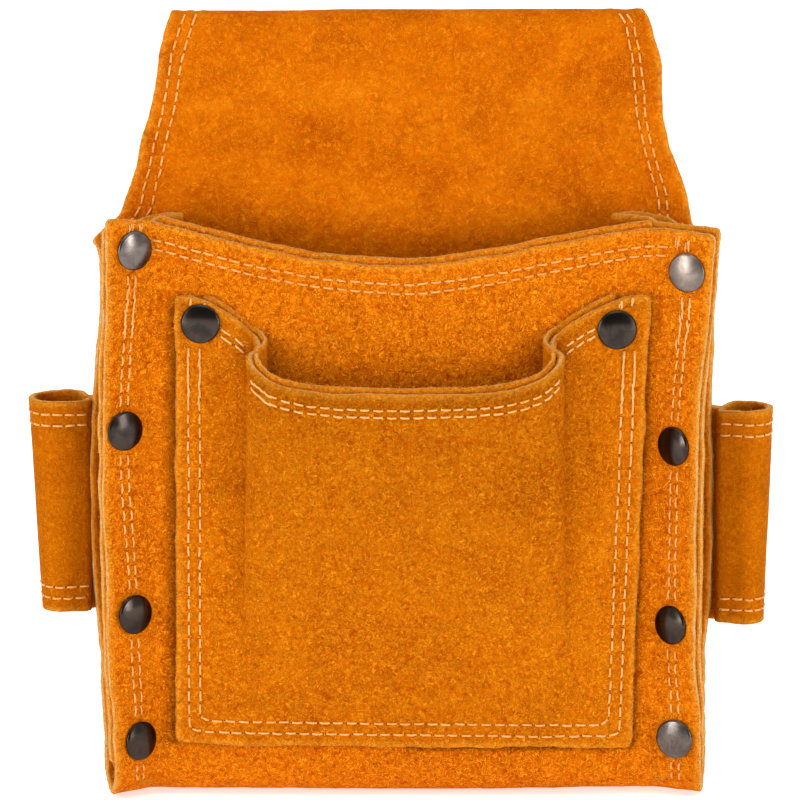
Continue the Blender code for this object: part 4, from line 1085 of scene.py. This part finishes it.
# Painted shade darkens the pocket's face towards its top and painted light brightens its flanges, more on the left; a
# darker strip also runs just under its upper edge
across, up = pocket.middle[..., 0], pocket.middle[..., 2]
pocket.tone -= 0.16 * np.exp(-((pocket_tops[None] - up - 2.4) / 2.4) ** 2)
pocket.tone -= 0.15 * ease(up, 40, 128) * (1 - ease(np.abs(across), 44, 56))
pocket.tone += 0.07 * ease(-across, 48, 55) + 0.045 * ease(across, 48, 55)
pocket.build("pocket", "side")
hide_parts("front_pocket")

trim = np.abs(signed) <= 2.62
trim_heights = (pocket_tops + POCKET_BAND_RISE)[None] - 12 * (1 - np.linspace(0, 1, 14)[:, None])
pocket_band_grid = at_heights(POCKET_LEVELS, POCKET_PLANS, trim_heights)
pocket_band_grid = pocket_lift(pocket_band_grid, PLY / 2 + GAP / 2 + POCKET_BAND_THICK / 2)[:, trim]
pocket_band = Ply("front_pocket_band", pocket_band_grid, through=POCKET_BAND_THICK, rough=0.3, seed=13)
pocket_band.rough((4, 0.06)).build("pocket", "side")
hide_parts("front_pocket_band")


# ------------------------------------------------------------------ tool loops
def squared(share):
    """Turns a circle's coordinates into those of a rounder square."""
    return math.copysign(abs(share) ** 0.8, share)


def loop_grid(side):
    """One strip from the inner tail round the loop and back to the outer tail."""
    bottom, top = LOOP_HEIGHTS[side]
    cos, sin = math.cos(BACK_FLARE), math.sin(BACK_FLARE)

    def tail(along, lift):
        return BACK_CREASE + along * cos + lift * sin, -along * sin + lift * cos

    rows = []
    for share in np.linspace(0, 1, 70):
        reach = float(np.interp(share, (0, 1), LOOP_REACHES[side]))
        path = [tail(TAILS_END - TAILS_WIDTH, GAP + PLY / 2), tail(TAILS_END - 2, GAP + PLY / 2)]
        path += [(LOOP_HINGE[0] + 0.4, LOOP_HINGE[1] - PLY / 2 - 0.2),
                 (LOOP_NECKS[side], LOOP_Y - 0.66 * LOOP_HALF_DEPTH)]
        path += [(LOOP_X + reach * squared(math.cos(a)), LOOP_Y + LOOP_HALF_DEPTH * squared(math.sin(a)))
                 for a in np.radians(np.linspace(-114, 122, 15))]
        path += [(LOOP_HINGE[0] + 0.4, LOOP_HINGE[1] + PLY / 2 + 0.2)]
        path += [tail(TAILS_END - 2, GAP + PLY * 1.5 + 0.1), tail(TAILS_END - TAILS_WIDTH, GAP + PLY * 1.5 + 0.1)]
        line = soften([(*p, k) for k, p in enumerate(path)], 2.0, 3)
        at = lengths(line[:, :2])
        x, y = read_off(line[:, :2], at, np.linspace(0, 1, 90) * at[-1]).T
        rows.append(np.stack((side * x, y, np.full_like(x, bottom + share * (top - bottom))), axis=-1))
    grid = np.array(rows)
    return grid if side == RIGHT else grid[:, ::-1]


def hem_row(ply, z):
    """Points round a loop at one height, just outside its leather."""
    rows, columns = ply.middle.shape[:2]
    k = int(np.argmin(np.abs(ply.middle[:, columns // 2, 2] - z)))
    return ply.middle[k] + ply.normal[k] * 2.2, ply.normal[k]


def hem_heights(side):
    """Heights of a loop's lower and upper pair of stitch rows."""
    bottom, top = LOOP_HEIGHTS[side]
    return (bottom + HEM_ROWS[0], bottom + HEM_ROWS[1]), (top - HEM_ROWS[1], top - HEM_ROWS[0])


loops = {}
for side in (LEFT, RIGHT):
    name = f"{SIDE_NAMES[side]}_tool_loop"
    made = Ply(name, loop_grid(side), corner=3.2, rough=0.35, seed=17 + side)
    made.wave((22, 0.25)).rough((4, 0.05))
    for z in sum(hem_heights(side), ()):
        made.good -= 0.3 * np.exp(-((made.middle[..., 2] - z) / 1.2) ** 2) * (np.abs(made.middle[..., 0]) > 103)
    # Painted shade on the loop's faces that turn sideways, where the side softboxes light it most
    made.tone -= 0.14 * ease(np.abs(made.normal[..., 0]), 0.3, 0.95)
    made.build("side", "side")
    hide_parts(name, name + "_tails")
    loops[side] = made


# ------------------------------------------------------------------ rivets
def turned(name, profile, face, outwards, finish="metal", segments=56):
    """A solid turned round a rivet's axis, from a profile of (radius, height) that starts and ends on the axis."""
    z_axis = unit(np.array(outwards, float))
    x_axis = unit(np.cross((0, 0, 1), z_axis))
    y_axis = np.cross(z_axis, x_axis)
    rings = profile[1:-1]
    angle = 2 * np.pi * np.arange(segments) / segments
    points = [np.array(face) + z_axis * profile[0][1], np.array(face) + z_axis * profile[-1][1]]
    for radius, height in rings:
        for a in angle:
            points.append(np.array(face) + z_axis * height + radius * (x_axis * math.cos(a) + y_axis * math.sin(a)))
    faces = []
    for r in range(len(rings) - 1):
        for s in range(segments):
            a, b = 2 + r * segments + s, 2 + r * segments + (s + 1) % segments
            faces += [(a, a + segments, b + segments), (a, b + segments, b)]
    for s in range(segments):
        a, b = 2 + s, 2 + (s + 1) % segments
        faces.append((0, a, b))
        last = (len(rings) - 1) * segments
        faces.append((1, b + last, a + last))
    obj = new_object(name, np.array(points), faces, (finish,))
    return obj


def cap_profile():
    """A domed cap with a rolled rim, over its tube."""
    low, r = GAP, CAP_RADIUS
    dome = [(share * (r - 0.75), low + CAP_RIM + CAP_DOME * (1 - 0.62 * share**2.2))
            for share in np.linspace(0, 1, 14)]
    top = dome[-1][1]
    rim = [(r - 0.62, top - 0.03), (r - 0.5, top - 0.08)]
    centre = (r - 0.62, low + 0.62)
    rim += [(centre[0] + 0.62 * math.cos(a), centre[1] + (top - 0.12 - centre[1]) * math.sin(a))
            for a in np.radians(np.linspace(76, 0, 7))]
    rim += [(r - 0.05, low + 0.35), (r - 0.3, low)]
    tube_end = 0.5 - GRIP
    tube = [(TUBE_RADIUS, low), (TUBE_RADIUS, tube_end), (TUBE_BORE, tube_end), (TUBE_BORE, low)]
    return [*dome, *rim, *tube, (0, low)]


def post_profile():
    tip, base, r = -1.2, -GRIP - GAP, POST_BASE_RADIUS
    return [(0, tip), (POST_RADIUS * 0.8, tip), (POST_RADIUS, tip - 0.2), (POST_RADIUS, base), (r - 0.3, base),
            (r, base - 0.3), (r - 0.1, base - 0.7), (r - 0.5, base - POST_BASE), (0, base - POST_BASE)]


rivets = []
for side in (LEFT, RIGHT):
    for number, z in enumerate(SEAM_RIVET_HEIGHTS[side], 1):
        flare = float(seam_flare(side, z))
        along = SEAM_RIVETS_AT[side][number - 1]
        face = (side * (CREASE_X + along * math.cos(flare)), CREASE_Y - along * math.sin(flare), z)
        outwards = (-side * math.sin(flare), -math.cos(flare), 0)
        rivets.append((f"{SIDE_NAMES[side]}_seam_rivet_{number}", face, outwards))
    x, z = POCKET_RIVETS[side]
    slope = math.atan2(FRONT_FACE[-1][1] - FRONT_FACE[-2][1], FRONT_FACE[-1][0] - FRONT_FACE[-2][0])
    face = (side * x, seat(x) - PLY / 2 - 1.2, z)
    rivets.append((f"{SIDE_NAMES[side]}_pocket_rivet", face, (side * math.sin(slope), -math.cos(slope), 0)))
# Three of the caps get the lighter copies of the plate: painted reflection
for name, face, outwards in rivets:
    for part, profile in (("cap", cap_profile()), ("post", post_profile())):
        finish = {"left_seam_rivet_1_cap": "lighter_metal_painted_reflection", "right_seam_rivet_1_cap": "lightest_metal_painted_reflection",
                  "right_seam_rivet_4_cap": "lighter_metal_painted_reflection"}.get(f"{name}_{part}", "metal")
        obj = turned(f"{name}_{part}_plated", profile, face, outwards, finish)
        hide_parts(f"{name}_{part}")
        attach(obj, "front_wall")

# ------------------------------------------------------------------ sewing
FORWARD, BACKWARD = (0, 1, 0), (0, -1, 0)


def clump(stitches, ply, centre, across, along, threads, direction=FORWARD):
    """A bar tack: thin stitches laid side by side, of uneven lengths."""
    centre, across, along = (np.array(v, float) for v in (centre, across, along))
    for k in range(threads):
        place = centre + across * ((k + 0.5) / threads - 0.5) + along * 0.12 * random.normal()
        half = along / 2 * (0.75 + 0.4 * random.random())
        start, end = (place + sign * half + random.normal(size=3) * 0.08 for sign in (-1, 1))
        stitches.stitch(ply, start, end, direction, 0.16 + 0.16 * random.random(),
                        THREAD * (0.6 + 0.2 * random.random()), hole=False)


for side in (LEFT, RIGHT):
    for number in (1, 2, 3):
        name = f"{SIDE_NAMES[side]}_front_seam_thread_{number}"
        made = Stitches(name + "_stitches")
        for row in seam_rows[side, number] + (seam_rows[side, BELOW] if number == 3 else []):
            made.row(front, row, FORWARD, doubled=14 if number == 1 else 0)
        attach(made.build([name]), "front_wall")

rim = Stitches("front_rim_thread_stitches")
for row in rim_rows:
    rim.row(front, row, FORWARD)
for x, z, reach in ((-86.9, 184.6, 3.0), (-83.9, 184.2, 3.2), (86.4, 179.0, 4.2), (89.6, 178.8, 4.4)):
    clump(rim, front, (x, -26, z), (1.5, 0, 0), (0.3, 0, reach), 3)
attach(rim.build(["front_rim_thread"]), "front_wall")

made = Stitches("pocket_rim_thread_stitches", worn=False)
for row in pocket_rim_rows:
    made.row(pocket, row, FORWARD, doubled=6)
for pair in shoulder_rows:
    for row in pair:
        made.row(pocket, row, FORWARD)
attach(made.build(["pocket_rim_thread"]), "front_wall")

made = Stitches("pocket_seam_thread_stitches", worn=False)
for row in u_rows:
    made.row(pocket, row, FORWARD, doubled=16)
    made.row(pocket, row[::-1][:12], FORWARD, doubled=16)
for x in (-68.0, -63.7, 68.6, 72.2):
    clump(made, pocket, (x, -30, front_pocket_top(x) - 1.4), (0.7, 0, 0), (0.05, 0, 2.8), 3)
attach(made.build(["pocket_seam_thread"]), "front_wall")

for side in (LEFT, RIGHT):
    name = f"{SIDE_NAMES[side]}_hanger_thread"
    made = Stitches(name + "_stitches")
    for row in hanger_rows[side]:
        made.row(back, row, FORWARD)
    if side == RIGHT:
        clump(made, back, (87.5, -2, 180.5), (3.2, 0, 0), (0, 0, 3.6), 5)
    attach(made.build([name]), "back")

made = Stitches("flap_thread_stitches")
for rise in FLAP_ROWS:
    made.row(back, [(x, 4, FLAP_SEWN_Z + rise) for x in np.linspace(-70, 70, 50)], BACKWARD)
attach(made.build(["flap_thread"]), "back")


def between(axis, start, end):
    """Where a piece starts and ends bending along one axis, in the frame's metres."""
    return {"start": tuple(world(np.eye(3)[axis] * start)), "end": tuple(world(np.eye(3)[axis] * end))}


for side in (LEFT, RIGHT):
    bottom, top = LOOP_HEIGHTS[side]
    for part, heights in (("upper", (top + 3, 174)), ("lower", (16, bottom - 3))):
        name = f"{SIDE_NAMES[side]}_back_seam_thread_{part}"
        made = Stitches(name + "_stitches")
        for along in BACK_SEAM_ROWS:
            x = BACK_CREASE + along * math.cos(BACK_FLARE)
            made.row(back, [(side * x, 0, z) for z in np.linspace(heights[1], heights[0], 30)], BACKWARD)
        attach(made.build([name]), "back")
    for part, hem in zip(("lower", "upper"), hem_heights(side)):
        name = f"{SIDE_NAMES[side]}_tool_loop_thread_{part}"
        made = Stitches(name + "_stitches")
        for z in hem:
            line, outward = hem_row(loops[side], z)
            keep = np.abs(line[:, 0]) > np.where(line[:, 1] < LOOP_Y - 4, LOOP_NECKS[side] - 1.4, 102.2)
            line, outward = line[keep], outward[keep]
            at = lengths(line)
            count = round(at[-1] / PITCH)
            for k in range(count):
                trio = []
                for s in (0.04, 0.5, 0.96):
                    s = (k + s) * at[-1] / count
                    place, normal = read_off(line, at, s), unit(read_off(outward, at, s))
                    place[2] = z + 0.1 * random.normal()
                    trio.append(loops[side].surface(place, -normal))
                made.lay(*trio)
                made.holes += [trio[0], trio[2]]
        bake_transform(made.build([name]))

# ------------------------------------------------------------------ loose fibres, and bodies for some pieces to ride on
fold_blend, gusset_blend = between(1, *FOLD_BEND), between(1, *GUSSET_BEND)
for ply, ends in ((front, fold_blend), (gussets[LEFT], gusset_blend), (gussets[RIGHT], gusset_blend)):
    for obj in (ply.obj, ply.fuzz(7.0, (0.35, 1.7)) if ply is front else ply.fuzz()):
        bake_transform(obj)
for ply, body in ((band, "front_wall"), (pocket, "front_wall"), (pocket_band, "front_wall"), (back, "back")):
    for obj in (ply.obj, ply.fuzz()):
        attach(obj, body)
for side in (LEFT, RIGHT):
    for obj in (loops[side].obj, loops[side].fuzz()):
        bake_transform(obj)

# ------------------------------------------------------------------ studio
scene = bpy.context.scene
scene.view_settings.view_transform = "Standard"
air = bpy.data.worlds.new("studio")
scene.world = air
air.use_nodes = True
sky = air.node_tree
sky_at = sky.nodes.new("ShaderNodeTexCoord")
sky_parts = sky.nodes.new("ShaderNodeSeparateXYZ")
sky.links.new(sky_at.outputs["Generated"], sky_parts.inputs[0])
# A white sweep behind and above, and a dimmer room in front of the pouch
behind = spread(sky, sky_parts.outputs["Y"], -0.55, -0.05, 0.20, 1.0)
above = spread(sky, sky_parts.outputs["Z"], 0.25, 0.8, 0.0, 0.5)
sky.links.new(sums(sky, "MINIMUM", sums(sky, "ADD", behind, above), 1.25), sky.nodes["Background"].inputs["Strength"])
sky.nodes["Background"].inputs["Color"].default_value = (1, 1, 1, 1)


def softbox(name, place, target, size, glow):
    """A rectangular area light of that radiance."""
    light = bpy.data.lights.new(name, "AREA")
    light.shape = "RECTANGLE"
    light.size, light.size_y = size
    light.energy = glow * math.pi * size[0] * size[1]
    obj = bpy.data.objects.new(name, light)
    scene.collection.objects.link(obj)
    obj.location = place
    obj.rotation_euler = (Vector(target) - Vector(place)).to_track_quat("-Z", "Y").to_euler()


MIDDLE = (0, -0.02, -0.08)
softbox("top_softbox", (0.0, -0.45, 0.95), MIDDLE, (0.9, 0.6), 1.4)
softbox("left_softbox", (-0.95, -0.80, 0.06), MIDDLE, (0.28, 0.7), 10.8)
softbox("right_softbox", (0.95, -0.82, 0.04), MIDDLE, (0.26, 0.7), 10.8)

floor_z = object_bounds()[0].z - 0.0004
floor_mesh = bpy.data.meshes.new("studio_floor")
floor_mesh.from_pydata([(-6, -4, floor_z), (6, -4, floor_z), (6, 10, floor_z), (-6, 10, floor_z)], [], [(0, 1, 2, 3)])
made, tree, shader, _ = node_tree("studio_floor")
settle(tree, shader, Base_Color=(0.93, 0.93, 0.93), Emission_Color=(1, 1, 1), Emission_Strength=0.50, Roughness=0.9)
floor_mesh.materials.append(made)
floor = bpy.data.objects.new("studio_floor", floor_mesh)
scene.collection.objects.link(floor)

camera = bpy.data.objects.new("camera", bpy.data.cameras.new("camera"))
scene.collection.objects.link(camera)
aim = Vector(world((-1.6, -24, 128.4)))
ELEVATION, DISTANCE, SEEN = math.radians(12), 4.0, 0.2544
camera.location = aim + DISTANCE * Vector((0, -math.cos(ELEVATION), math.sin(ELEVATION)))
camera.rotation_euler = (math.pi / 2 - ELEVATION, 0, 0)
camera.data.sensor_width = 36
camera.data.lens = 36 * DISTANCE / SEEN
camera.data.clip_end = 50
scene.camera = camera
